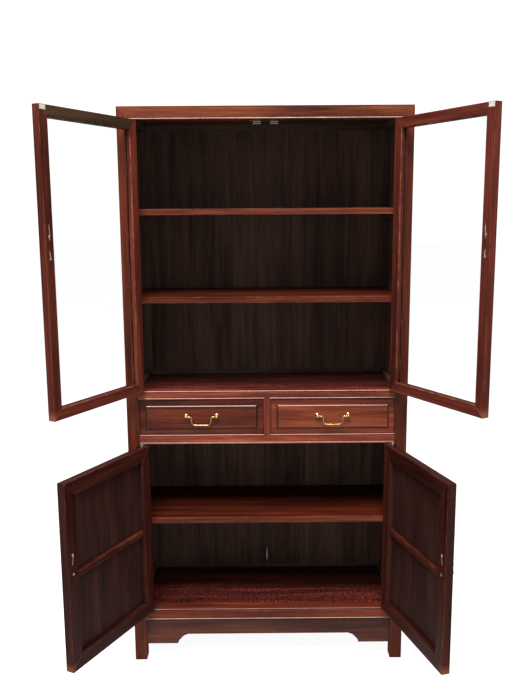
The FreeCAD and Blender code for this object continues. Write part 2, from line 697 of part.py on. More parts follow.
def make_panel_door(side):
    """Panelled door: deep mitred frame, panel near the outer face, batten across its back."""
    axis = panel_door_axis()
    x0 = -INNER + DOOR_SIDE_GAP
    x1 = -DOOR_MEETING_GAP / 2
    z0 = CUPBOARD_SILL + PANEL_DOOR_SILL_GAP
    z1 = CUPBOARD_HEAD - PANEL_DOOR_HEAD_GAP
    member = PANEL_DOOR_MEMBER
    stiles, rails = mitred_frame(x0, x1, z0, z1, PANEL_DOOR_THICKNESS, member)
    reach = member - DOOR_PANEL_TONGUE
    panel_back = DOOR_PANEL_DEPTH + DOOR_PANEL_THICKNESS
    board = box(x0 + reach, x1 - reach, DOOR_PANEL_DEPTH, panel_back, z0 + reach, z1 - reach)
    margin = member + 2 * DOOR_PANEL_TONGUE
    field = raised_field(
        x0 + margin, x1 - margin, z0 + margin, z1 - margin, DOOR_PANEL_DEPTH, FIELD_RISE, FIELD_BEVEL
    )
    batten_z = (z0 + z1) / 2
    batten = box(
        x0 + member, x1 - member,
        panel_back, panel_back + DOOR_BATTEN_PROUD,
        batten_z - DOOR_BATTEN_WIDTH / 2, batten_z + DOOR_BATTEN_WIDTH / 2,
    )
    beading = opening_groove(x0 + member, x1 - member, z0 + member, z1 - member)
    plates = moving_pivot_plates()
    frame_cuts = [board, beading] + plates
    pull_x = x1 - member / 2
    pieces = {
        "stiles": [less(stile, frame_cuts) for stile in stiles],
        "rails_and_batten": [less(rail, frame_cuts) for rail in rails] + [batten],
        "panel": [joined(board, field)],
        "pivot_plates": plates,
        "pull_plate": [drop_pull_plate(pull_x, PANEL_DOOR_PULL_Z)],
        "pull_drop": [drop_pendant(pull_x, PANEL_DOOR_PULL_Z)],
    }
    for name, shapes in pieces.items():
        placed = [door_turn(shape, side, axis, PANEL_DOOR_ANGLE) for shape in shapes]
        save(f"{side}_panel_door_{name}", placed)


# ---------------------------------------------------------------- drawers


def bail_path(centre):
    """Centre line of the bail: in from one post, down, along the grip, and up to the other post."""
    y = -BAIL_AXIS_PROUD
    top = BAIL_AXIS_Z
    low = top - BAIL_DROP
    half = BAIL_SPREAD / 2
    run = half - BAIL_SHOULDER
    tip = half + BAIL_TIP
    diagonal = math.sqrt(0.5)

    def at(x, z):
        return Vector(centre + x, y, z)

    def bend(start, centre_x, centre_z, direction, end, radius):
        middle = at(centre_x + direction[0] * radius * diagonal, centre_z + direction[1] * radius * diagonal)
        return Part.Arc(start, middle, end).toShape()

    small = BAIL_TOP_BEND
    large = BAIL_LOW_BEND
    edges = []
    corners = [at(-tip, top), at(-run - small, top), at(-run, top - small), at(-run, low + large)]
    corners += [at(-run + large, low), at(run - large, low), at(run, low + large), at(run, top - small)]
    corners += [at(run + small, top), at(tip, top)]
    edges.append(Part.makeLine(corners[0], corners[1]))
    edges.append(bend(corners[1], -run - small, top - small, (1, 1), corners[2], small))
    edges.append(Part.makeLine(corners[2], corners[3]))
    edges.append(bend(corners[3], -run + large, low + large, (-1, -1), corners[4], large))
    edges.append(Part.makeLine(corners[4], corners[5]))
    edges.append(bend(corners[5], run - large, low + large, (1, -1), corners[6], large))
    edges.append(Part.makeLine(corners[6], corners[7]))
    edges.append(bend(corners[7], run + small, top - small, (-1, 1), corners[8], small))
    edges.append(Part.makeLine(corners[8], corners[9]))
    return Part.Wire(edges)


def make_bail(side, centre):
    path = bail_path(centre)
    start = path.Edges[0].Vertexes[0].Point
    ring_wire = Part.Wire(Part.makeCircle(BAIL_WIRE, start, Vector(1, 0, 0)))
    save(f"{side}_drawer_bail", path.makePipeShell([ring_wire], True, False))


def make_bail_posts(side, centre):
    """Turned posts on round rosettes, bored along X for the bail's ends."""
    along = Vector(1, 0, 0)
    out = Vector(0, -1, 0)
    y = -BAIL_AXIS_PROUD
    posts = []
    for sign in (-1, 1):
        x = centre + sign * BAIL_SPREAD / 2
        foot = Vector(x, 0, BAIL_AXIS_Z)
        rosette = Part.makeCone(ROSETTE_RADIUS, ROSETTE_TOP_RADIUS, ROSETTE_HEIGHT, foot, out)
        neck = Part.makeCylinder(BAIL_NECK_RADIUS, BAIL_AXIS_PROUD, foot, out)
        knob = Part.makeSphere(BAIL_KNOB_RADIUS, Vector(x, y, BAIL_AXIS_Z))
        inner_end = x - sign * (BAIL_KNOB_RADIUS + CUT_MARGIN)
        reach = BAIL_KNOB_RADIUS + CUT_MARGIN + BAIL_TIP + BAIL_TIP_GAP
        bore_start = Vector(min(inner_end, inner_end + sign * reach), y, BAIL_AXIS_Z)
        bore = Part.makeCylinder(BAIL_WIRE + PIN_CLEARANCE, reach, bore_start, along)
        posts.append(joined(rosette, neck, knob).cut(bore))
    save(f"{side}_drawer_pull_posts", posts)


def make_drawer(side):
    """Drawer made on the left; the right one is its mirror image."""
    turn = flip if side == "right" else (lambda shape: shape)
    x0 = -INNER + DRAWER_GAP
    x1 = -DIVIDER - DRAWER_GAP
    z0 = DRAWER_SILL + DRAWER_GAP
    z1 = DRAWER_HEAD - DRAWER_GAP
    field = raised_field(
        x0 + DRAWER_FIELD_SIDE, x1 - DRAWER_FIELD_SIDE,
        z0 + DRAWER_FIELD_END, z1 - DRAWER_FIELD_END,
        FIELD_RISE, FIELD_RISE, FIELD_BEVEL,
    )
    front = joined(box(x0, x1, FIELD_RISE, DRAWER_FRONT_THICKNESS, z0, z1), field)
    outer_left = x0 + DRAWER_GAP
    outer_right = x1 - DRAWER_GAP
    inner_left = outer_left + DRAWER_SIDE
    inner_right = outer_right - DRAWER_SIDE
    base = DRAWER_SILL + DRAWER_RUN_GAP
    top = base + DRAWER_SIDE_HEIGHT
    bottom_z = base + DRAWER_BOTTOM
    y0 = DRAWER_FRONT_THICKNESS
    boards = [
        box(outer_left, inner_left, y0, DRAWER_DEPTH, base, top),
        box(inner_right, outer_right, y0, DRAWER_DEPTH, base, top),
        box(
            inner_left, inner_right, DRAWER_DEPTH - DRAWER_SIDE, DRAWER_DEPTH,
            bottom_z, top - DRAWER_BACK_DROP,
        ),
        box(inner_left, inner_right, y0, DRAWER_DEPTH - DRAWER_SIDE, bottom_z, bottom_z + DRAWER_BOTTOM),
    ]
    save(f"{side}_drawer_front", turn(front))
    save(f"{side}_drawer_box", [turn(board) for board in boards])
    centre = (x0 + x1) / 2
    if side == "right":
        centre = -centre
    make_bail_posts(side, centre)
    make_bail(side, centre)


def main():
    grooves = front_grooves()
    make_posts(grooves, [cut for block in post_leaf_blocks() for cut in both_sides(block)])
    make_top_frame(grooves)
    make_front_rails(grooves, [cut for blank in rail_plate_blanks() for cut in both_sides(blank)])
    make_aprons()
    make_sides_and_back()
    make_boards()
    make_shelves()
    make_drawer_guides()
    make_catches()
    make_fixed_hinge_parts()
    for side in SIDES:
        make_glass_door(side)
        make_panel_door(side)
        make_drawer(side)


main()
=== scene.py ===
import json
import math
import random

import bmesh
import bpy
from mathutils import Matrix, Vector

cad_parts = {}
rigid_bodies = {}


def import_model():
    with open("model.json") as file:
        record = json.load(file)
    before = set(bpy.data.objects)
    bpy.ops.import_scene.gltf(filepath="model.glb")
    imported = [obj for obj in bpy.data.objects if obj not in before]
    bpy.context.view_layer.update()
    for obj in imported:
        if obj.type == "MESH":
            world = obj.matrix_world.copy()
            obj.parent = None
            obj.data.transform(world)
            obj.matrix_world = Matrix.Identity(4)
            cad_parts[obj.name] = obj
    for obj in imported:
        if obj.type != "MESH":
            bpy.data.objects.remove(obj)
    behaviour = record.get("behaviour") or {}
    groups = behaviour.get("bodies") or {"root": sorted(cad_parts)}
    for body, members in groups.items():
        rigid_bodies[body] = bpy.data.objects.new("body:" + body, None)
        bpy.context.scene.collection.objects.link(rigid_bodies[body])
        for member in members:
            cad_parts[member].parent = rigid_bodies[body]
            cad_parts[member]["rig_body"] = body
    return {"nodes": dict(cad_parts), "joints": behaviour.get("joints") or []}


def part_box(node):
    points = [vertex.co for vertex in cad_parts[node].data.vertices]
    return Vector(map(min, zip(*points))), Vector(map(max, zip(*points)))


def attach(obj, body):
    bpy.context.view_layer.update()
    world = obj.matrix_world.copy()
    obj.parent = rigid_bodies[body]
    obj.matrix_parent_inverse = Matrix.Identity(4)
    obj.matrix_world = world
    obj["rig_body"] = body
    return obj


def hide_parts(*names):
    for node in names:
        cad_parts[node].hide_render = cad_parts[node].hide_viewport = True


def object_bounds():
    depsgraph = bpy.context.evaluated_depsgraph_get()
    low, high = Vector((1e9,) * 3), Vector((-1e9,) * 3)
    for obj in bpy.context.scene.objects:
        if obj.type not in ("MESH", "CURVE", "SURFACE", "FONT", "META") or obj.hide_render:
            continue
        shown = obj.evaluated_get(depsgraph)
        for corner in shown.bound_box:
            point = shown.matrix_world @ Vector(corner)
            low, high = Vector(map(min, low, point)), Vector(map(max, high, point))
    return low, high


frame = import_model()
cad_low, cad_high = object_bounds()

MM = 0.001
SIDES = ("left", "right")
JOINTS = {joint["name"]: joint for joint in frame["joints"]}

# ---------------------------------------------------------------- camera

CAMERA_PLACE = Vector((-23.5, -2602.8, 1584.5)) * MM
CAMERA_YAW = math.radians(-0.2)
CAMERA_PITCH = math.radians(-9.81)
CAMERA_ROLL = math.radians(0.36)
CAMERA_SENSOR = 36.0           # long side, in the lens's own millimetres
CAMERA_LENS = 40.24


def make_camera():
    """Camera at eye height in front of the cabinet, tilted a little down."""
    data = bpy.data.cameras.new("camera")
    data.sensor_width = CAMERA_SENSOR
    data.lens = CAMERA_LENS
    camera = bpy.data.objects.new("camera", data)
    bpy.context.scene.collection.objects.link(camera)
    turn = Matrix.Rotation(CAMERA_YAW, 4, "Z") @ Matrix.Rotation(CAMERA_PITCH, 4, "X")
    turn = turn @ Matrix.Rotation(CAMERA_ROLL, 4, "Y") @ Matrix.Rotation(math.radians(90), 4, "X")
    camera.matrix_world = Matrix.Translation(CAMERA_PLACE) @ turn
    bpy.context.scene.camera = camera


# ---------------------------------------------------------------- materials


class Nodes:
    """Short hand for building one node material."""

    def __init__(self, name):
        self.material = bpy.data.materials.new(name)
        self.material.use_nodes = True
        self.tree = self.material.node_tree
        self.shader = self.tree.nodes["Principled BSDF"]
        self.output = self.tree.nodes["Material Output"]

    def add(self, kind, **values):
        node = self.tree.nodes.new(kind)
        for key, value in values.items():
            setattr(node, key, value)
        return node

    def link(self, source, target):
        self.tree.links.new(source, target)

    def put(self, target, value):
        """A link if value is a socket, or else the socket's own value."""
        if isinstance(value, bpy.types.NodeSocket):
            self.link(value, target)
        else:
            target.default_value = value

    def math(self, operation, first, second=0.0, clamp=False):
        node = self.add("ShaderNodeMath", operation=operation, use_clamp=clamp)
        self.put(node.inputs[0], first)
        self.put(node.inputs[1], second)
        return node.outputs[0]

    def ramp(self, value, stops):
        """Value through a colour ramp; a stop is (position, colour or number)."""
        node = self.add("ShaderNodeValToRGB")
        elements = node.color_ramp.elements
        while len(elements) < len(stops):
            elements.new(0.5)
        for element, (position, colour) in zip(elements, stops):
            element.position = position
            rgb = colour if isinstance(colour, tuple) else (colour, colour, colour)
            element.color = (*rgb, 1.0)
        self.link(value, node.inputs[0])
        return node.outputs[0]

    def mix(self, share, first, second, blend="MIX"):
        node = self.add("ShaderNodeMix", data_type="RGBA", blend_type=blend)
        for socket, value in ((node.inputs[0], share), (node.inputs[6], first), (node.inputs[7], second)):
            if isinstance(value, tuple):
                value = (*value, 1.0)
            self.put(socket, value)
        return node.outputs[2]

    def noise(self, vector, scale, detail=4.0, rough=0.55, distortion=0.0):
        node = self.add("ShaderNodeTexNoise")
        self.link(vector, node.inputs["Vector"])
        node.inputs["Scale"].default_value = scale
        node.inputs["Detail"].default_value = detail
        node.inputs["Roughness"].default_value = rough
        node.inputs["Distortion"].default_value = distortion
        return node.outputs[0]

    def stretched(self, vector, scale):
        node = self.add("ShaderNodeMapping")
        self.link(vector, node.inputs["Vector"])
        node.inputs["Scale"].default_value = scale
        return node.outputs[0]

    def attribute(self, name):
        return self.add("ShaderNodeAttribute", attribute_name=name).outputs["Fac"]

    def bump(self, height, strength, distance):
        node = self.add("ShaderNodeBump")
        node.inputs["Strength"].default_value = strength
        node.inputs["Distance"].default_value = distance
        self.link(height, node.inputs["Height"])
        self.link(node.outputs[0], self.shader.inputs["Normal"])

    def set(self, **values):
        for name, value in values.items():
            self.put(self.shader.inputs[name.replace("_", " ")], value)


# dark streak, ground, light streak, worn edge, specular level, roughness range, coat
FINISHES = {
    "front": dict(
        dark=(0.060, 0.0100, 0.005), ground=(0.190, 0.030, 0.012), light=(0.380, 0.080, 0.030),
        worn=(0.40, 0.15, 0.08), specular=0.28, rough=(0.24, 0.40), coat=0.15,
    ),
    "drawer": dict(
        dark=(0.022, 0.0036, 0.0018), ground=(0.080, 0.0105, 0.0042), light=(0.170, 0.032, 0.0120),
        worn=(0.34, 0.12, 0.06), specular=0.26, rough=(0.24, 0.40), coat=0.12,
    ),
    "drawer_light": dict(
        dark=(0.040, 0.0070, 0.0035), ground=(0.128, 0.0215, 0.0085), light=(0.250, 0.058, 0.0220),
        worn=(0.34, 0.12, 0.06), specular=0.26, rough=(0.24, 0.40), coat=0.12,
    ),
    "post": dict(
        dark=(0.038, 0.0075, 0.0045), ground=(0.132, 0.0240, 0.0115), light=(0.250, 0.052, 0.0240),
        worn=(0.36, 0.13, 0.07), specular=0.20, rough=(0.28, 0.45), coat=0.08,
    ),
    "lower_door": dict(
        dark=(0.016, 0.0045, 0.0035), ground=(0.046, 0.0095, 0.0065), light=(0.090, 0.020, 0.0130),
        worn=(0.34, 0.10, 0.045), specular=0.10, rough=(0.32, 0.50), coat=0.04,
    ),
    "top": dict(
        dark=(0.048, 0.0095, 0.005), ground=(0.125, 0.027, 0.011), light=(0.260, 0.075, 0.020),
        worn=(0.40, 0.16, 0.09), specular=0.28, rough=(0.26, 0.42), coat=0.15,
    ),
    "door": dict(
        dark=(0.035, 0.008, 0.006), ground=(0.100, 0.019, 0.012), light=(0.200, 0.044, 0.026),
        worn=(0.36, 0.12, 0.07), specular=0.16, rough=(0.28, 0.45), coat=0.05,
    ),
    "olive": dict(
        dark=(0.030, 0.016, 0.010), ground=(0.070, 0.036, 0.020), light=(0.120, 0.058, 0.034),
        worn=(0.24, 0.12, 0.07), specular=0.22, rough=(0.30, 0.48), coat=0.05,
    ),
    "base": dict(
        dark=(0.028, 0.011, 0.009), ground=(0.080, 0.024, 0.016), light=(0.150, 0.042, 0.028),
        worn=(0.34, 0.15, 0.10), specular=0.25, rough=(0.30, 0.48), coat=0.08,
    ),
    "panel": dict(
        dark=(0.020, 0.0085, 0.007), ground=(0.042, 0.014, 0.011), light=(0.070, 0.022, 0.016),
        worn=(0.16, 0.05, 0.035), specular=0.15, rough=(0.45, 0.65), coat=0.0,
    ),
    "inside": dict(
        dark=(0.068, 0.042, 0.0340), ground=(0.120, 0.0720, 0.0570), light=(0.190, 0.108, 0.0800),
        worn=(0.10, 0.050, 0.038), specular=0.10, rough=(0.50, 0.70), coat=0.0,
    ),
    "shelf": dict(
        dark=(0.045, 0.008, 0.004), ground=(0.125, 0.020, 0.009), light=(0.240, 0.045, 0.020),
        worn=(0.42, 0.19, 0.12), specular=0.12, rough=(0.35, 0.55), coat=0.0,
    ),
    "floor": dict(
        dark=(0.022, 0.007, 0.006), ground=(0.120, 0.020, 0.016), light=(0.260, 0.050, 0.040),
        worn=(0.30, 0.12, 0.08), specular=0.35, rough=(0.22, 0.45), coat=0.3,
    ),
}
PAINTED_HIGHLIGHT_COLOUR = (0.66, 0.40, 0.35)         # painted highlight on the crowns of the beads, the upper slopes of the raised fields and the floors' back edges
BOARD_SHIFT = (3.1, 4.7, 5.9)           # how far a board's number moves its grain, in metres
# frequency along and across the grain, per metre; then detail, roughness and distortion of the noise
PATTERNS = {
    "streaks": (1.6, 34.0, 6.0, 0.62, 0.6),
    "fine": (6.0, 260.0, 3.0, 0.6, 0.2),
    "pores": (40.0, 900.0, 2.0, 0.5, 0.0),
    "clouds": (2.2, 7.0, 3.0, 0.5, 0.0),
    "stains": (130.0, 150.0, 5.0, 0.75, 0.6),
    "wear_and_highlight_noise": (22.0, 60.0, 4.0, 0.65, 0.0),
    "scuffs": (190.0, 190.0, 4.0, 0.7, 0.0),
}
CLOUD_TONES = ((0.30, 0.62), (0.55, 1.0), (0.75, 1.18))
BOARD_TONES = ((0.0, 0.84), (1.0, 1.12))
PORE_TONES = ((0.34, 0.55), (0.46, 1.0))
PORE_SHARE = 0.7
STAIN_TONES = ((0.40, 0.15), (0.50, 0.75), (0.60, 2.4))
# painted shade in corners and hollows, against ambient occlusion
CORNER_SHADE_TONES = ((0.30, 0.30), (0.85, 1.0))
# painted shade: the tone that darkens faces marked shade
PAINTED_SHADE_TONE = (0.22, 0.20, 0.20)
RUBBED_SHARE = ((0.46, 0.05), (0.62, 0.55))
SCUFFED_SHARE = ((0.40, 0.35), (0.58, 1.0))
# how much of the painted highlight shows, against the noise
PAINTED_HIGHLIGHT_SHARE = ((0.36, 0.70), (0.60, 1.0))
COAT_ROUGHNESS = 0.22
DEPTH_LIGHT_AND_SHADE = {                        # painted light and shade from the front edge of a board to its back, against metres of depth: a painted highlight at the shelves' front edge, painted shade towards the back
    "floor": ((0.05, 1.0), (0.13, 0.62), (0.22, 0.34), (0.34, 0.28)),
    "shelf": ((0.036, (1.0, 1.35, 1.55)), (0.05, (0.60, 0.55, 0.50)), (0.20, 0.42), (0.34, 0.34)),
}
CORNER_SHADE_REACH = 9.0 * MM         # how far the painted shade reaches out of a corner
wood_cache = {}


def object_place(n):
    return n.add("ShaderNodeTexCoord").outputs["Object"]


def grain_spot(n, place, board):
    """Where in the tree a point comes from: each solid is cut from a place of its own."""
    number = n.add("ShaderNodeCombineXYZ")
    for socket in number.inputs:
        n.link(board, socket)
    shifted = n.add("ShaderNodeVectorMath", operation="MULTIPLY_ADD")
    n.link(number.outputs[0], shifted.inputs[0])
    shifted.inputs[1].default_value = BOARD_SHIFT
    n.link(place, shifted.inputs[2])
    return shifted.outputs[0]


def pattern(n, spot, axis, name):
    """One of the noises in the wood, drawn out along the grain's axis."""
    along, across, detail, rough, distortion = PATTERNS[name]
    stretch = tuple(along if letter == axis else across for letter in "xyz")
    return n.noise(n.stretched(spot, stretch), 1.0, detail, rough, distortion)


def blend(n, first, second, share):
    """Two patterns added, with share of the first."""
    return n.math("ADD", n.math("MULTIPLY", first, share), n.math("MULTIPLY", second, 1.0 - share))


def darken(n, colour, tone):
    return n.mix(1.0, colour, tone, "MULTIPLY")


def bare_wood(n, look, streaks, fine, pores, clouds, board):
    """Streaks, cloudy tone, the tint of each board and dark pores."""
    colours = ((0.36, look["dark"]), (0.50, look["ground"]), (0.66, look["light"]))
    colour = n.ramp(blend(n, streaks, fine, 0.72), colours)
    colour = darken(n, colour, n.ramp(clouds, CLOUD_TONES))
    colour = darken(n, colour, n.ramp(board, BOARD_TONES))
    return n.mix(PORE_SHARE, colour, darken(n, colour, n.ramp(pores, PORE_TONES)))


def stained_and_shaded_wood(n, colour, finish, axis, place, spot):
    """Stains on the floors; painted light and shade from front to back, with a painted highlight at the
    shelves' front edge and painted shade towards the back; painted shade in corners and hollows by ambient
    occlusion; and painted shade on faces marked shade.
    """
    if finish == "floor":
        colour = darken(n, colour, n.ramp(pattern(n, spot, axis, "stains"), STAIN_TONES))
    # Painted light and shade along the depth: lighter at the front edge, painted shade towards the back.
    if finish in DEPTH_LIGHT_AND_SHADE:
        depth = n.add("ShaderNodeSeparateXYZ")
        n.link(place, depth.inputs[0])
        colour = darken(n, colour, n.ramp(depth.outputs["Y"], DEPTH_LIGHT_AND_SHADE[finish]))
    # Painted shade: darkening by ambient occlusion in corners and hollows.
    corners = n.add("ShaderNodeAmbientOcclusion", samples=4)
    corners.inputs["Distance"].default_value = CORNER_SHADE_REACH
    colour = darken(n, colour, n.ramp(corners.outputs["AO"], CORNER_SHADE_TONES))
    # Painted shade on the faces marked shade.
    return n.mix(n.attribute("shade"), colour, darken(n, colour, PAINTED_SHADE_TONE))


def worn_and_highlighted_wood(n, colour, look, axis, spot):
    """Rubbed arrises and knocked corners (wear), and a painted highlight on the marked crowns."""
    wear_and_highlight_noise = pattern(n, spot, axis, "wear_and_highlight_noise")
    scuffs = pattern(n, spot, axis, "scuffs")
    wear = n.math("MULTIPLY", n.attribute("edge"), n.ramp(wear_and_highlight_noise, RUBBED_SHARE), clamp=True)
    scuffed = n.math("MULTIPLY", n.attribute("scuff"), n.ramp(scuffs, SCUFFED_SHARE), clamp=True)
    colour = n.mix(n.math("MAXIMUM", wear, scuffed), colour, look["worn"])
    # Painted highlight: the marked crowns turn pale pink.
    painted_highlight = n.math("MULTIPLY", n.attribute("painted_highlight"), n.ramp(wear_and_highlight_noise, PAINTED_HIGHLIGHT_SHARE), clamp=True)
    return n.mix(painted_highlight, colour, PAINTED_HIGHLIGHT_COLOUR)


def wood(finish, axis):
    """Lacquered rosewood with its grain along one axis of the piece's own frame."""
    key = (finish, axis)
    if key in wood_cache:
        return wood_cache[key]
    look = FINISHES[finish]
    n = Nodes(f"wood_{finish}_{axis}")
    place = object_place(n)
    board = n.attribute("board")
    spot = grain_spot(n, place, board)
    streaks, fine, pores, clouds = (
        pattern(n, spot, axis, name) for name in ("streaks", "fine", "pores", "clouds")
    )
    colour = bare_wood(n, look, streaks, fine, pores, clouds, board)
    colour = stained_and_shaded_wood(n, colour, finish, axis, place, spot)
    colour = worn_and_highlighted_wood(n, colour, look, axis, spot)
    low, high = look["rough"]
    rough = n.ramp(blend(n, clouds, fine, 0.5), ((0.35, low), (0.65, high)))
    n.set(Base_Color=colour, Roughness=rough, Specular_IOR_Level=look["specular"])
    n.set(Coat_Weight=look["coat"], Coat_Roughness=COAT_ROUGHNESS)
    n.bump(blend(n, pores, fine, 0.6), 0.35, 0.0004)
    wood_cache[key] = n.material
    return n.material


def aged_brass():
    """Yellow brass with brown tarnish and fine scratches."""
    n = Nodes("aged_brass")
    place = object_place(n)
    tarnish = n.noise(place, 160.0, 5.0, 0.65, 0.4)
    scratches = n.noise(n.stretched(place, (900.0, 300.0, 900.0)), 1.0, 2.0)
    tones = ((0.36, (0.32, 0.20, 0.075)), (0.50, (0.62, 0.44, 0.17)), (0.68, (0.80, 0.62, 0.30)))
    n.set(Base_Color=n.ramp(tarnish, tones), Metallic=1.0)
    n.set(Roughness=n.ramp(tarnish, ((0.35, 0.42), (0.65, 0.22))))
    n.bump(scratches, 0.12, 0.0002)
    return n.material


def zinc_steel():
    """Zinced steel with its spangle, brushed along."""
    n = Nodes("zinc_steel")
    place = object_place(n)
    spangle = n.noise(place, 220.0, 3.0, 0.6)
    brushed = n.noise(n.stretched(place, (60.0, 1500.0, 1500.0)), 1.0, 2.0)
    tones = ((0.35, (0.42, 0.41, 0.39)), (0.65, (0.72, 0.71, 0.68)))
    n.set(Base_Color=n.ramp(spangle, tones), Metallic=1.0)
    n.set(Roughness=n.ramp(brushed, ((0.3, 0.28), (0.7, 0.45))))
    n.bump(brushed, 0.1, 0.0001)
    return n.material


def bronzed_housing():
    """Dark bronzed sheet metal, mottled with pale bloom."""
    n = Nodes("bronzed_housing")
    place = object_place(n)
    mottle = n.noise(place, 260.0, 5.0, 0.7, 0.5)
    tones = ((0.40, (0.010, 0.009, 0.007)), (0.54, (0.045, 0.040, 0.026)), (0.68, (0.24, 0.22, 0.15)))
    n.set(Base_Color=n.ramp(mottle, tones), Metallic=0.3)
    n.set(Roughness=n.ramp(mottle, ((0.35, 0.35), (0.65, 0.6))))
    n.bump(mottle, 0.2, 0.0004)
    return n.material


PANE_GLOSS = 0.02               # reflection seen straight on, and how much more there is at a glance
PANE_GLANCING_GLOSS = 0.6
GLANCING_POWER = 5.0


def clear_glass():
    """Thin clear pane: what is behind shows unbent, with a faint gloss and a green tone."""
    n = Nodes("clear_glass")
    place = object_place(n)
    ripple = n.noise(place, 3.0, 2.0)
    tone = n.ramp(ripple, ((0.3, (0.988, 0.997, 0.992)), (0.7, (0.994, 1.0, 0.996))))
    clear = n.add("ShaderNodeBsdfTransparent")
    n.link(tone, clear.inputs["Color"])
    gloss = n.add("ShaderNodeBsdfGlossy")
    gloss.inputs["Roughness"].default_value = 0.03
    bump = n.add("ShaderNodeBump")
    bump.inputs["Strength"].default_value = 0.05
    bump.inputs["Distance"].default_value = 0.001
    n.link(ripple, bump.inputs["Height"])
    n.link(bump.outputs[0], gloss.inputs["Normal"])
    facing = n.add("ShaderNodeLayerWeight")
    facing.inputs["Blend"].default_value = 0.5
    glancing = n.math("POWER", facing.outputs["Facing"], GLANCING_POWER)
    gloss_share = n.math("ADD", n.math("MULTIPLY", glancing, PANE_GLANCING_GLOSS), PANE_GLOSS)
    mixed = n.add("ShaderNodeMixShader")
    n.link(gloss_share, mixed.inputs[0])
    n.link(clear.outputs[0], mixed.inputs[1])
    n.link(gloss.outputs[0], mixed.inputs[2])
    n.link(mixed.outputs[0], n.output.inputs["Surface"])
    n.tree.nodes.remove(n.shader)
    return n.material


FLOOR_GLOW = 0.92              # the floor looks this much paler than it lights the cabinet


def pale_floor():
    """Matt pale floor that glows to the camera only."""
    n = Nodes("pale_floor")
    place = object_place(n)
    n.set(Base_Color=n.ramp(n.noise(place, 0.4), ((0.3, 0.52), (0.7, 0.56))), Roughness=0.9)
    n.set(Specular_IOR_Level=0.05, Emission_Color=(1.0, 1.0, 1.0, 1.0))
    seen = n.add("ShaderNodeLightPath").outputs["Is Camera Ray"]
    n.set(Emission_Strength=n.math("MULTIPLY", seen, FLOOR_GLOW))
    return n.material


def pale_plate():
    """Nickelled strike plate gone dull and whitish."""
    n = Nodes("pale_plate")
    place = object_place(n)
    bloom = n.noise(place, 240.0, 4.0, 0.7, 0.4)
    tones = ((0.38, (0.30, 0.31, 0.27)), (0.50, (0.78, 0.78, 0.68)), (0.66, (0.92, 0.92, 0.82)))
    n.set(Base_Color=n.ramp(bloom, tones), Metallic=0.25, Roughness=n.ramp(bloom, ((0.35, 0.5), (0.65, 0.3))))
    n.bump(bloom, 0.15, 0.0002)
    return n.material


def pin_metal():
    """Split pins of pale brass, whitened where they were hammered and rusty in places."""
    n = Nodes("pin_metal")
    place = object_place(n)
    rust = n.noise(place, 90.0, 4.0, 0.7, 0.4)
    tones = ((0.42, (0.22, 0.085, 0.035)), (0.50, (0.42, 0.30, 0.22)), (0.64, (0.66, 0.54, 0.47)))
    n.set(Base_Color=n.ramp(rust, tones), Metallic=0.3, Roughness=n.ramp(rust, ((0.38, 0.7), (0.6, 0.35))))
    n.bump(rust, 0.2, 0.0003)
    return n.material


BRASS = aged_brass()
STEEL = zinc_steel()
GLASS = clear_glass()
HOUSING = bronzed_housing()
PALE_PLATE = pale_plate()
PIN_METAL = pin_metal()

# ---------------------------------------------------------------- mesh tools

ARRIS = 0.7 * MM               # rounding of the wooden edges
SHARP = math.radians(25)
BEAD_WIDTH = 5.0 * MM          # strip between a groove and its opening
BEAD_ROUNDING = 1.8 * MM
COVE = 3.2 * MM                # hollow at the foot of a raised field
SHORTEST_FOOT = 20 * MM        # an edge at the foot of a field's slope is longer than this
SMOOTH = math.radians(40)      # faces that meet at less than this look round
LATHE_TURNS = 24
# how strongly the wood shows its rubbed edge (wear), painted highlight or painted shade on a face
BEAD_RUB = 0.4
LEVEL_BEAD_HIGHLIGHT = 1.0
UPRIGHT_BEAD_HIGHLIGHT = 0.25
UPPER_SLOPE_HIGHLIGHT = 0.45
SLOPE_SHADE = 0.9
UPPER_COVE_SHADE = 0.25
COVE_SHADE = 0.85
BACK_EDGE_HIGHLIGHT = 0.8
BATTEN_RUB = 0.3


def door_place(joint_name):
    """Matrix that carries a door's pieces from the closed door to the stored, open one."""
    joint = JOINTS[joint_name]
    pivot = Vector(joint["pos_m"])
    angle = -math.radians(joint["range_deg"][0])
    turn = Matrix.Rotation(angle, 4, Vector(joint["axis"]))
    return Matrix.Translation(pivot) @ turn @ Matrix.Translation(-pivot)


def closed_box(node, place):
    """Corners of a node's box in the frame that place carries to the stored pose."""
    back = place.inverted()
    points = [back @ vertex.co for vertex in frame["nodes"][node].data.vertices]
    low = Vector(min(p[i] for p in points) for i in range(3))
    high = Vector(max(p[i] for p in points) for i in range(3))
    return low, high


def solids_of(bm):
    """Faces of each separate solid, as lists."""
    seen = set()
    islands = []
    for start in bm.faces:
        if start in seen:
            continue
        seen.add(start)
        island = [start]
        for face in island:
            for edge in face.edges:
                for other in edge.link_faces:
                    if other not in seen:
                        seen.add(other)
                        island.append(other)
        islands.append(island)
    return islands


def mark_boards(bm, seed):
    """Give each solid its own number, which shifts and tints its grain."""
    layer = bm.faces.layers.float.new("board")
    draw = random.Random(seed)
    for island in solids_of(bm):
        number = draw.random()
        for face in island:
            face[layer] = number


# face marks: rubbed edge (wear), painted highlight, painted shade, scuffs (wear)
LOOK_LAYERS = ("edge", "painted_highlight", "shade", "scuff")


def look_layer(bm, name):
    """Face layer that tells the wood material where the surface differs."""
    return bm.faces.layers.float.get(name) or bm.faces.layers.float.new(name)


def round_off(bm, edges, width, segments, clamp=True):
    """Round some edges and return the new faces."""
    made = bmesh.ops.bevel(
        bm, geom=edges, offset=width, offset_type="OFFSET", segments=segments, profile=0.5,
        affect="EDGES", clamp_overlap=clamp,
    )
    return made["faces"]


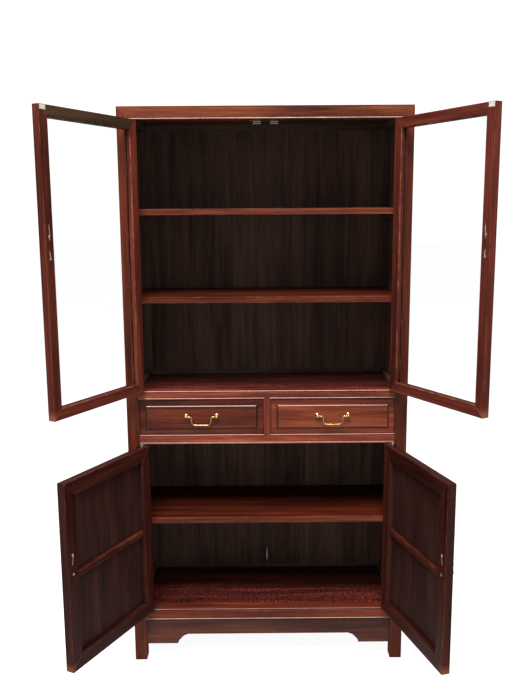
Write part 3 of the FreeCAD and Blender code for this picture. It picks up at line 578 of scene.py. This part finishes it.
def bevel(bm, edges, width, segments):
    """Round some edges and mark the rounded faces, where lacquer rubs off first."""
    made = round_off(bm, edges, width, segments, clamp=False)
    layer = look_layer(bm, "edge")
    for face in made:
        face[layer] = 1.0
    return made


def sharp_edges(bm, shortest):
    """Convex sharp edges between faces that are still flat."""
    layer = look_layer(bm, "edge")
    return [
        edge for edge in bm.edges
        if len(edge.link_faces) == 2 and edge.is_convex and edge.calc_length() > shortest
        and edge.calc_face_angle(0.0) > SHARP and not any(face[layer] > 0 for face in edge.link_faces)
    ]


def bead_strips(bm):
    """The narrow strips of the front plane that stand between a groove and an opening."""
    front = min(vertex.co.y for vertex in bm.verts)
    strips = []
    for face in bm.faces:
        flat = face.normal.y < -0.99 and abs(face.calc_center_median().y - front) < 0.05 * MM
        if flat and abs(2 * face.calc_area() / face.calc_perimeter() - BEAD_WIDTH) < 0.6 * MM:
            strips.append(face)
    return strips


def lies_flat(face):
    """Whether a face is wider than it is high, seen from the front."""
    spans = [
        max(vertex.co[i] for vertex in face.verts) - min(vertex.co[i] for vertex in face.verts)
        for i in (0, 2)
    ]
    return spans[0] > spans[1]


def round_beads(bm):
    """Half-round beads, with a painted highlight marked on their crowns: strong on the level ones, weak on
    the upright ones.
    """
    strips = bead_strips(bm)
    edges = {edge for strip in strips for edge in strip.edges}
    level = {strip: lies_flat(strip) for strip in strips}
    crests = [edge for edge in sharp_edges(bm, 1.5 * BEAD_WIDTH) if edge in edges]
    rounded = bevel(bm, crests, BEAD_ROUNDING, 3)
    bm.normal_update()
    layer = look_layer(bm, "edge")
    painted_highlight = look_layer(bm, "painted_highlight")
    for face in rounded:
        face[layer] = BEAD_RUB
        if lies_flat(face) and -0.1 < face.normal.z < 0.95:
            face[painted_highlight] = LEVEL_BEAD_HIGHLIGHT
    for strip, is_level in level.items():
        if strip.is_valid:
            strip[layer] = BEAD_RUB
            strip[painted_highlight] = LEVEL_BEAD_HIGHLIGHT if is_level else UPRIGHT_BEAD_HIGHLIGHT


def is_slope(face, edge_layer):
    """Whether a face is one of the slopes round a raised field."""
    return -0.9 < face.normal.y < -0.3 and face[edge_layer] == 0


def shade_slopes(bm):
    """A cove at the foot of a raised field's slopes, with painted shade on the slopes and coves save for a
    painted highlight on the upper slope.
    """
    bm.normal_update()
    edge_layer = look_layer(bm, "edge")
    shade = look_layer(bm, "shade")
    painted_highlight = look_layer(bm, "painted_highlight")
    slopes = [face for face in bm.faces if is_slope(face, edge_layer)]
    for face in slopes:
        if face.normal.z > 0.3:
            face[painted_highlight] = UPPER_SLOPE_HIGHLIGHT
        else:
            face[shade] = SLOPE_SHADE
    feet = {
        edge for face in slopes for edge in face.edges
        if not edge.is_convex and edge.calc_length() > SHORTEST_FOOT
    }
    made = round_off(bm, list(feet), COVE, 4)
    bm.normal_update()
    for face in made:
        upper = face.normal.z > 0.05
        face[painted_highlight] = 0.0
        face[shade] = UPPER_COVE_SHADE if upper else COVE_SHADE


def round_edges(bm, width):
    """Round a wooden piece all over: its beads, the coves round its fields, and its arrises."""
    for name in LOOK_LAYERS:
        look_layer(bm, name)
    round_beads(bm)
    shade_slopes(bm)
    bevel(bm, sharp_edges(bm, 2.5 * width), width, 2)


def finish_mesh(bm, name):
    """The working mesh as a mesh of its own, smooth save at real edges."""
    mesh = bpy.data.meshes.new(name)
    for face in bm.faces:
        face.smooth = True
    bm.to_mesh(mesh)
    bm.free()
    mesh.set_sharp_from_angle(angle=SMOOTH)
    return mesh


def add_piece(name, bm, body, material, place=None, replaces=()):
    """A visible piece that rides on a body and stands for some of its nodes."""
    piece = bpy.data.objects.new(name, finish_mesh(bm, name))
    bpy.context.scene.collection.objects.link(piece)
    piece.data.materials.append(material)
    if place is not None:
        piece.matrix_world = place
    even = piece.modifiers.new("even_normals", "WEIGHTED_NORMAL")
    even.keep_sharp = True
    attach(piece, body)
    if replaces:
        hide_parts(*replaces)
    return piece


def node_copy(node, place=None):
    """The node's mesh with whole flat faces, in the frame that place carries to the stored pose."""
    bm = bmesh.new()
    bm.from_mesh(frame["nodes"][node].data)
    if place is not None:
        bm.transform(place.inverted())
    bmesh.ops.remove_doubles(bm, verts=bm.verts, dist=0.01 * MM)
    bmesh.ops.dissolve_limit(bm, angle_limit=math.radians(0.5), verts=bm.verts, edges=bm.edges)
    return bm


def body_of(node):
    return frame["nodes"][node]["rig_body"]


def interior():
    """Corners of the space that the carcass encloses."""
    side_low, side_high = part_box("side_panels")
    low = Vector((side_low.x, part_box("front_posts")[1].y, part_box("cupboard_floor")[0].z))
    high = Vector((side_high.x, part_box("back_panels")[0].y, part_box("top_panel")[0].z))
    return low, high


INTERIOR = interior()
LOOK_AHEAD = 5 * MM            # how far in front of a face it is asked whether that is inside


def looks_inwards(face):
    """Whether a carcass face looks into the cupboards."""
    low, high = INTERIOR
    spot = face.calc_center_median() + face.normal * LOOK_AHEAD
    return all(low[i] < spot[i] < high[i] for i in range(3))


def paint_back_edge_highlight(bm):
    """A painted highlight on the floors' back edges, so that they show as a thin pale line against the dark
    back.
    """
    back = max(vertex.co.y for vertex in bm.verts)
    top = max(vertex.co.z for vertex in bm.verts)
    painted_highlight = look_layer(bm, "painted_highlight")
    for face in bm.faces:
        centre = face.calc_center_median()
        if 0.1 < face.normal.y < 0.95 and centre.y > back - 1 * MM and centre.z > top - 1 * MM:
            face[painted_highlight] = BACK_EDGE_HIGHLIGHT


def wooden(node, finish, axis, place=None, second=None, reshape=None):
    """
    A wooden node again, with rounded edges and its own grain.

    second is a finish and the rule that picks its faces; reshape works on the mesh before the rounding.
    """
    bm = node_copy(node, place)
    mark_boards(bm, node)
    for name in LOOK_LAYERS:
        look_layer(bm, name)
    if reshape:
        reshape(bm)
    round_edges(bm, ARRIS)
    bm.normal_update()
    if finish == "floor":
        paint_back_edge_highlight(bm)
    if second:
        other, rule = second
        for face in bm.faces:
            face.material_index = int(rule(face))
    piece = add_piece(f"{node}_wood", bm, body_of(node), wood(finish, axis), place, [node])
    if second:
        piece.data.materials.append(wood(other, axis))
    return piece


def box_into(bm, low, high, rounding):
    """A block with rounded edges."""
    layer = look_layer(bm, "edge")
    middle = (Vector(low) + Vector(high)) / 2
    size = Vector(high) - Vector(low)
    place = Matrix.Translation(middle) @ Matrix.Diagonal((*size, 1.0))
    made = bmesh.ops.create_cube(bm, size=1.0, matrix=place)
    edges = list({edge for vertex in made["verts"] for edge in vertex.link_edges})
    for face in round_off(bm, edges, rounding, 2):
        face[layer] = 1.0


def lathe_into(bm, profile, place, turns=LATHE_TURNS):
    """Turn a profile of (radius, height) about Z, then put it in place. Its ends lie on the axis."""
    rings = []
    for radius, height in profile:
        if radius == 0:
            rings.append([bm.verts.new(place @ Vector((0, 0, height)))])
            continue
        rings.append([
            bm.verts.new(place @ Vector((radius * math.cos(a), radius * math.sin(a), height)))
            for a in (2 * math.pi * i / turns for i in range(turns))
        ])
    for lower, upper in zip(rings, rings[1:]):
        for i in range(turns):
            corners = [lower[i % len(lower)], lower[(i + 1) % len(lower)]]
            corners += [upper[(i + 1) % len(upper)], upper[i % len(upper)]]
            bm.faces.new(list(dict.fromkeys(corners)))


# ---------------------------------------------------------------- carcass

CARCASS_WOOD = {
    "front_posts": ("post", "z"),
    "rear_posts": ("post", "z"),
    "top_front_rail": ("top", "x"),
    "top_back_rail": ("top", "x"),
    "top_side_rails": ("top", "y"),
    "top_panel": ("top", "x"),
    "rail_above_drawers": ("front", "x"),
    "rail_below_drawers": ("front", "x"),
    "drawer_divider": ("front", "z"),
    "bottom_front_rail": ("post", "x"),
    "front_apron": ("base", "x"),
    "side_aprons": ("base", "y"),
    "side_rails": ("post", "y"),
    "side_panels": ("door", "z"),
    "back_rails": ("door", "x"),
    "display_floor": ("floor", "x"),
    "cupboard_floor": ("floor", "x"),
    "drawer_deck": ("inside", "x"),
    "drawer_guides": ("inside", "y"),
    "display_shelf_upper": ("shelf", "x"),
    "display_shelf_lower": ("shelf", "x"),
    "cupboard_shelf": ("shelf", "x"),
    "shelf_cleats": ("inside", "y"),
}
INSIDE_LOOKS = (
    "display_floor", "cupboard_floor", "drawer_deck", "drawer_guides",
    "display_shelf_upper", "display_shelf_lower", "cupboard_shelf", "shelf_cleats",
)


def make_carcass():
    """Every wooden node of the carcass, dull where it looks into the cupboards."""
    for node, (finish, axis) in CARCASS_WOOD.items():
        second = None if node in INSIDE_LOOKS else ("inside", looks_inwards)
        wooden(node, finish, axis, second=second)


BACK_BOARDS = 6                # in each panel
BOARD_ROUNDING = 0.35 * MM
BOARD_SPREAD = 20 * MM         # how far a joint may stand from its even place
SHRUNK_JOINT = 3               # the middle joint, which opened a little in the lowest panel
# foot, widest place and top of the gap, above the panel's foot
SHRUNK_HEIGHTS = (9 * MM, 40 * MM, 77 * MM)
SHRUNK_GAP = 0.6 * MM
NEAR = 1 * MM


def panel_bands():
    """Heights of the back panels, one pair for each solid of the node, from the lowest up."""
    bm = node_copy("back_panels")
    bands = []
    for island in solids_of(bm):
        heights = [vertex.co.z for face in island for vertex in face.verts]
        bands.append((min(heights), max(heights)))
    bm.free()
    return sorted(bands)


def board_joints(left, right, draw):
    """Where the boards of one panel begin and end. The middle joint is in the middle of the panel."""
    joints = [left + (right - left) * i / BACK_BOARDS for i in range(BACK_BOARDS + 1)]
    for i in range(1, BACK_BOARDS):
        shift = draw.uniform(-BOARD_SPREAD, BOARD_SPREAD)
        if i != SHRUNK_JOINT:
            joints[i] += shift
    return joints


def open_joint(bm, first, x, bottom):
    """Draw one board's edge back between two heights, so that light shows through a slender gap."""
    board = set(list(bm.verts)[first:])
    for height in SHRUNK_HEIGHTS:
        faces = {face for vertex in board for face in vertex.link_faces}
        edges = {edge for vertex in board for edge in vertex.link_edges}
        made = bmesh.ops.bisect_plane(
            bm, geom=list(board) + list(edges) + list(faces),
            plane_co=(0, 0, bottom + height), plane_no=(0, 0, 1),
        )
        board |= {item for item in made["geom_cut"] if isinstance(item, bmesh.types.BMVert)}
    widest = bottom + SHRUNK_HEIGHTS[1]
    for vertex in board:
        if abs(vertex.co.z - widest) < NEAR and abs(vertex.co.x - x) < NEAR:
            vertex.co.x -= SHRUNK_GAP


def make_back_boards():
    """Each back panel as upright boards, side by side."""
    bm = bmesh.new()
    low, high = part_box("back_panels")
    draw = random.Random("back boards")
    for row, (bottom, top) in enumerate(panel_bands()):
        joints = board_joints(low.x, high.x, draw)
        for i, (start, end) in enumerate(zip(joints, joints[1:]), 1):
            first = len(bm.verts)
            box_into(bm, (start, low.y, bottom), (end, high.y, top), BOARD_ROUNDING)
            if row == 0 and i == SHRUNK_JOINT:
                open_joint(bm, first, end, bottom)
    mark_boards(bm, "back_panels")
    add_piece("back_boards", bm, "carcass", wood("inside", "z"), replaces=["back_panels"])


SCREW_HALF_HEIGHT = 0.25 * MM
SCREW_SLOT = 0.12              # half of the slot's width, as a share of the head's radius
SCREW_STEPS = 12


def screw_into(bm, at, out, radius):
    """Slotted screw head: two segments of a disc with the slot between them."""
    turn = Vector((0, 0, 1)).rotation_difference(Vector(out)).to_matrix().to_4x4()
    place = Matrix.Translation(at) @ turn
    rise = Vector((0, 0, SCREW_HALF_HEIGHT))
    reach = math.acos(SCREW_SLOT)
    for sign in (-1, 1):
        rim = []
        for i in range(SCREW_STEPS + 1):
            angle = reach * (2 * i / SCREW_STEPS - 1)
            rim.append(Vector((radius * math.sin(angle), sign * radius * math.cos(angle), 0)))
        low = [bm.verts.new(place @ (point - rise)) for point in rim]
        high = [bm.verts.new(place @ (point + rise)) for point in rim]
        bm.faces.new(high[::-sign])
        bm.faces.new(low[::sign])
        for i in range(len(rim)):
            j = (i + 1) % len(rim)
            quad = [low[i], low[j], high[j], high[i]]
            bm.faces.new(quad[::-sign])


CATCH_MARGIN = 1.0 * MM        # from a catch's half of the CAD box to its wing
WING_THICKNESS = 1.8 * MM
WING_ROUNDING = 0.5 * MM
HOUSING_SHARE = 0.57           # width of the housing, as a share of its wings
HOUSING_BACK = 1.0 * MM
HOUSING_TOP = 1.6 * MM
HOUSING_ROUNDING = 1.2 * MM
POLE_LEVELS = (0.28, 0.68)     # heights of the two pole plates, as shares of the housing's
POLE_SHARE = 0.8
POLE_HEIGHT = 2.0 * MM
POLE_PROUD = 0.3 * MM
POLE_DEPTH = 6 * MM
POLE_ROUNDING = 0.4 * MM
CATCH_SCREW_RADIUS = 2.6 * MM
CATCH_SCREW_PLACE = 0.8        # along a wing
CATCH_SCREW_DROP = 2.0 * MM    # below the rail


def make_catches():
    """Each catch as a folded housing with two pole plates that face the door's strike."""
    low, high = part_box("magnetic_catches")
    middle = (low.x + high.x) / 2
    half = (high.x - low.x) / 4
    wing = half - CATCH_MARGIN
    inner = wing * HOUSING_SHARE
    pole = inner * POLE_SHARE
    wing_bottom = high.z - WING_THICKNESS
    housing = bmesh.new()
    poles = bmesh.new()
    for sign in (-1, 1):
        x = middle + sign * half
        box_into(housing, (x - wing, low.y, wing_bottom), (x + wing, high.y, high.z), WING_ROUNDING)
        back_corner = (x + inner, high.y - HOUSING_BACK, high.z - HOUSING_TOP)
        box_into(housing, (x - inner, low.y, low.z), back_corner, HOUSING_ROUNDING)
        for level in POLE_LEVELS:
            z = low.z + (high.z - low.z) * level
            front_corner = (x - pole, low.y - POLE_PROUD, z - POLE_HEIGHT / 2)
            box_into(poles, front_corner, (x + pole, low.y + POLE_DEPTH, z + POLE_HEIGHT / 2), POLE_ROUNDING)
        for end in (-1, 1):
            screw_x = x + end * wing * CATCH_SCREW_PLACE
            at = (screw_x, (low.y + high.y) / 2, high.z - CATCH_SCREW_DROP)
            screw_into(poles, at, (0, 0, -1), CATCH_SCREW_RADIUS)
    add_piece("catch_housings", housing, "carcass", HOUSING, replaces=["magnetic_catches"])
    add_piece("catch_pole_plates", poles, "carcass", PALE_PLATE)


# ---------------------------------------------------------------- doors

PIN_LEG = 2.6 * MM             # width of a split pin's leg
PIN_LEG_THICKNESS = 0.7 * MM
# upper and lower pin of a pull: its side, then how far its legs reach up and down
PIN_LEGS = {
    "glass": ((1, 36 * MM, 9 * MM), (-1, 24 * MM, 3 * MM)),
    "panel": ((1, 3 * MM, 32 * MM), (-1, 4 * MM, 4 * MM)),
}
PIN_SPREAD = 62 / 80           # distance between a pull's two pins, as a share of its plate
PIN_STEPS = 8
PIN_RISE = 1.6 * MM            # how far a leg arches off the wood before it is hammered flat
PIN_ARCH = 1.6                 # the arch ends at one part in this of the leg
PIN_TAPER = 0.55               # share of a leg's width that is gone at its tip
PIN_LEAN = 0.12                # most that a leg leans sideways, per length
WASHER = [(0, 0), (3.6 * MM, 0), (4.2 * MM, 0.3 * MM), (3.9 * MM, 0.8 * MM), (0, 1.0 * MM)]
WASHER_TURNS = 20


def split_pin_into(bm, x, y, z, up, down, lean):
    """Two legs of a split pin, spread and hammered flat on the inner face, under a small washer."""
    facing_in = Matrix.Rotation(math.radians(-90), 4, "X")
    lathe_into(bm, WASHER, Matrix.Translation((x, y, z)) @ facing_in, WASHER_TURNS)
    for length, sign in ((up, 1), (down, -1)):
        rows = []
        for i in range(PIN_STEPS + 1):
            t = i / PIN_STEPS
            along = length * t
            arch = math.sin(math.pi * min(1.0, t * PIN_ARCH)) * (1 - t)
            rise = PIN_RISE * arch + PIN_LEG_THICKNESS
            width = PIN_LEG * (1 - PIN_TAPER * t * t) / 2
            centre = Vector((x + lean * along, y + rise, z + sign * along))
            rows.append([
                bm.verts.new(centre + Vector((-width, 0, 0))),
                bm.verts.new(centre + Vector((width, 0, 0))),
                bm.verts.new(centre + Vector((width, -PIN_LEG_THICKNESS, 0))),
                bm.verts.new(centre + Vector((-width, -PIN_LEG_THICKNESS, 0))),
            ])
        for first, second in zip(rows, rows[1:]):
            for i in range(4):
                j = (i + 1) % 4
                bm.faces.new([first[i], first[j], second[j], second[i]])
        bm.faces.new(rows[0])
        bm.faces.new(rows[-1][::-1])
    bmesh.ops.recalc_face_normals(bm, faces=bm.faces)


def make_pull_fixings(side, kind, place, inner_face):
    """The two split pins that hold a door's pull, seen on the door's inner face."""
    low, high = closed_box(f"{side}_{kind}_door_pull_plate", place)
    x = (low.x + high.x) / 2
    z = (low.z + high.z) / 2
    half = (high.z - low.z) * PIN_SPREAD / 2
    draw = random.Random(f"{side} {kind}")
    bm = bmesh.new()
    for sign, up, down in PIN_LEGS[kind]:
        lean = draw.uniform(-PIN_LEAN, PIN_LEAN)
        split_pin_into(bm, x, inner_face, z + sign * half, up, down, lean)
    add_piece(f"{side}_{kind}_door_pull_fixings", bm, f"{side}_{kind}_door", PIN_METAL, place)


OUTLINE_MARGIN = 5 * MM        # what lies further in than this isn't a door's outline
SHORTEST_SIGHT_EDGE = 40 * MM
SAME_LEVEL = 0.1 * MM
SIGHT_ROUNDING = 3.0 * MM
BATTEN_ROUNDING = 8.5 * MM
BATTEN_REACH = 30 * MM         # the batten's edges lie within this of the door's middle
SHORTEST_BATTEN_EDGE = 200 * MM
BATTEN_PROUD = 5 * MM          # and at least this far off the panel
SCUFF_REACH = 60 * MM
SCUFF_HEIGHTS = (7 * MM, 14 * MM, 20 * MM, 28 * MM)
SCUFF_STRENGTHS = (0.85, 0.65, 0.4, 0.2)


def within_outline(point, low, high):
    """Whether a point lies inside a door's outline, seen from the front."""
    across = low.x + OUTLINE_MARGIN < point.x < high.x - OUTLINE_MARGIN
    return across and low.z + OUTLINE_MARGIN < point.z < high.z - OUTLINE_MARGIN


def sight_edges(bm, level, low, high):
    """Long edges at one depth that lie inside a door's outline."""
    found = []
    for edge in sharp_edges(bm, SHORTEST_SIGHT_EDGE):
        points = [vertex.co for vertex in edge.verts]
        inside = all(within_outline(point, low, high) for point in points)
        if inside and all(abs(point.y - level) < SAME_LEVEL for point in points):
            found.append(edge)
    return found


def batten_edges(bm, middle, panel_face):
    """Long edges of the batten, which stands proud of the panel at the door's middle."""

    def on_batten(point):
        return abs(point.z - middle) < BATTEN_REACH and point.y > panel_face + BATTEN_PROUD

    long_edges = sharp_edges(bm, SHORTEST_BATTEN_EDGE)
    return [edge for edge in long_edges if all(on_batten(vertex.co) for vertex in edge.verts)]


def scuff_corner(bm, x, z):
    """Lacquer knocked off the end of a door near one lower corner, stronger towards the end."""
    for height in SCUFF_HEIGHTS:
        geometry = list(bm.verts) + list(bm.edges) + list(bm.faces)
        bmesh.ops.bisect_plane(bm, geom=geometry, plane_co=(0, 0, z + height), plane_no=(0, 0, 1))
    layer = look_layer(bm, "scuff")
    for face in bm.faces:
        centre = face.calc_center_median()
        for height, strength in zip(SCUFF_HEIGHTS, SCUFF_STRENGTHS):
            if abs(centre.x - x) < SCUFF_REACH and centre.z - z < height:
                face[layer] = strength
                break


def in_recess(level, low, high):
    """Rule for the walls beside a door's panel, which take the dark panel finish."""

    def rule(face):
        centre = face.calc_center_median()
        upright = abs(face.normal.y) < 0.3 and abs(face.normal.x) > 0.9
        return upright and centre.y > level and within_outline(centre, low, high)

    return rule


def free_edge(side, low, high):
    """Where a closed door's free edge is, across the cabinet."""
    return high.x if side == "left" else low.x


def make_glass_door(side):
    """Frame of a glass door; the upper rail of the left one has gone olive."""
    place = door_place(f"{side}_glass_door_hinge")
    low, high = closed_box(f"{side}_glass_door_stiles", place)

    def soften(bm):
        bevel(bm, sight_edges(bm, high.y, low, high), SIGHT_ROUNDING, 3)

    def stiles(bm):
        scuff_corner(bm, free_edge(side, low, high), low.z)
        soften(bm)

    middle = (low.z + high.z) / 2
    olive = ("olive", lambda face: face.calc_center_median().z > middle) if side == "left" else None
    wooden(f"{side}_glass_door_stiles", "door", "z", place, reshape=stiles)
    wooden(f"{side}_glass_door_rails", "door", "x", place, second=olive, reshape=soften)
    make_pull_fixings(side, "glass", place, high.y)


def make_panel_door(side):
    """Frame, batten and panel of a lower door."""
    place = door_place(f"{side}_panel_door_hinge")
    low, high = closed_box(f"{side}_panel_door_stiles", place)
    panel_face = closed_box(f"{side}_panel_door_panel", place)[1].y
    middle = (low.z + high.z) / 2

    def stiles(bm):
        scuff_corner(bm, free_edge(side, low, high), low.z)

    def rails(bm):
        layer = look_layer(bm, "edge")
        for face in bevel(bm, batten_edges(bm, middle, panel_face), BATTEN_ROUNDING, 5):
            face[layer] = BATTEN_RUB

    recess = ("panel", in_recess(panel_face, low, high))
    wooden(f"{side}_panel_door_stiles", "lower_door", "z", place, second=recess, reshape=stiles)
    wooden(f"{side}_panel_door_rails_and_batten", "lower_door", "x", place, reshape=rails)
    wooden(f"{side}_panel_door_panel", "panel", "z", place)
    make_pull_fixings(side, "panel", place, high.y)


# ---------------------------------------------------------------- drawers


DRAWER_FINISH = {"left": "drawer", "right": "drawer_light"}


def make_drawer(side):
    wooden(f"{side}_drawer_front", DRAWER_FINISH[side], "x")
    wooden(f"{side}_drawer_box", "inside", "y")


# ---------------------------------------------------------------- carried-over nodes

METAL_NODES = {
    "frame_hinge_plates": STEEL,
    "glass_door_hinge_leaves": STEEL,
    "glass_door_strike_plate": PALE_PLATE,
    "glass_door_glass": GLASS,
    "glass_door_pull_plate": BRASS,
    "glass_door_pull_drop": BRASS,
    "panel_door_pivot_plates": STEEL,
    "panel_door_pull_plate": BRASS,
    "panel_door_pull_drop": BRASS,
    "drawer_pull_posts": BRASS,
    "drawer_bail": BRASS,
}


def dress_nodes():
    """Better materials for the nodes whose shape stays as it is."""
    for ending, material in METAL_NODES.items():
        for name, node in frame["nodes"].items():
            if name.endswith(ending):
                node.data.materials.clear()
                node.data.materials.append(material)


# ---------------------------------------------------------------- surroundings


FLOOR_REACH = 40.0             # metres, past the horizon of every view


def make_floor():
    bm = bmesh.new()
    bmesh.ops.create_grid(bm, x_segments=4, y_segments=4, size=FLOOR_REACH)
    mesh = bpy.data.meshes.new("floor")
    bm.to_mesh(mesh)
    bm.free()
    floor = bpy.data.objects.new("floor", mesh)
    bpy.context.scene.collection.objects.link(floor)
    floor.location.z = cad_low.z
    mesh.materials.append(pale_floor())


def make_area_light(name, place, aim, width, height, power, colour):
    data = bpy.data.lights.new(name, "AREA")
    data.shape = "RECTANGLE"
    data.size = width
    data.size_y = height
    data.energy = power
    data.color = colour
    light = bpy.data.objects.new(name, data)
    bpy.context.scene.collection.objects.link(light)
    light.location = place
    light.rotation_euler = (Vector(aim) - Vector(place)).to_track_quat("-Z", "Y").to_euler()
    light.visible_camera = False


KEY_COLOUR = (1.0, 0.96, 0.91)
FILL_COLOUR = (1.0, 0.98, 0.96)
KEY_SIZE = (2.4, 1.5)          # metres
FILL_SIZE = (1.4, 2.2)


def make_lights():
    """A large soft key high in front and weaker fills at the sides. Places in metres, power in watts."""
    centre = (cad_low + cad_high) / 2
    make_area_light("key", (-0.4, -2.5, 4.7), (0, 0, centre.z), *KEY_SIZE, 320, KEY_COLOUR)
    make_area_light("fill_left", (-3.0, -3.0, 1.7), centre, *FILL_SIZE, 16, FILL_COLOUR)
    make_area_light("fill_right", (3.0, -3.0, 1.7), centre, *FILL_SIZE, 20, FILL_COLOUR)


WORLD_SEEN = 1.15              # strength to the camera
WORLD_LIGHT = 0.22             # strength as light


def make_world():
    """Plain white surroundings that light the scene more softly than they look."""
    world = bpy.data.worlds.new("studio")
    bpy.context.scene.world = world
    world.use_nodes = True
    tree = world.node_tree
    background = tree.nodes["Background"]
    background.inputs["Color"].default_value = (1.0, 1.0, 1.0, 1.0)
    path = tree.nodes.new("ShaderNodeLightPath")
    strength = tree.nodes.new("ShaderNodeMapRange")
    strength.inputs["To Min"].default_value = WORLD_LIGHT
    strength.inputs["To Max"].default_value = WORLD_SEEN
    tree.links.new(path.outputs["Is Camera Ray"], strength.inputs["Value"])
    tree.links.new(strength.outputs["Result"], background.inputs["Strength"])


def main():
    make_camera()
    make_floor()
    make_lights()
    make_world()
    bpy.context.scene.view_settings.view_transform = "Standard"
    make_carcass()
    make_back_boards()
    make_catches()
    for side in SIDES:
        make_glass_door(side)
        make_panel_door(side)
        make_drawer(side)
    dress_nodes()


main()
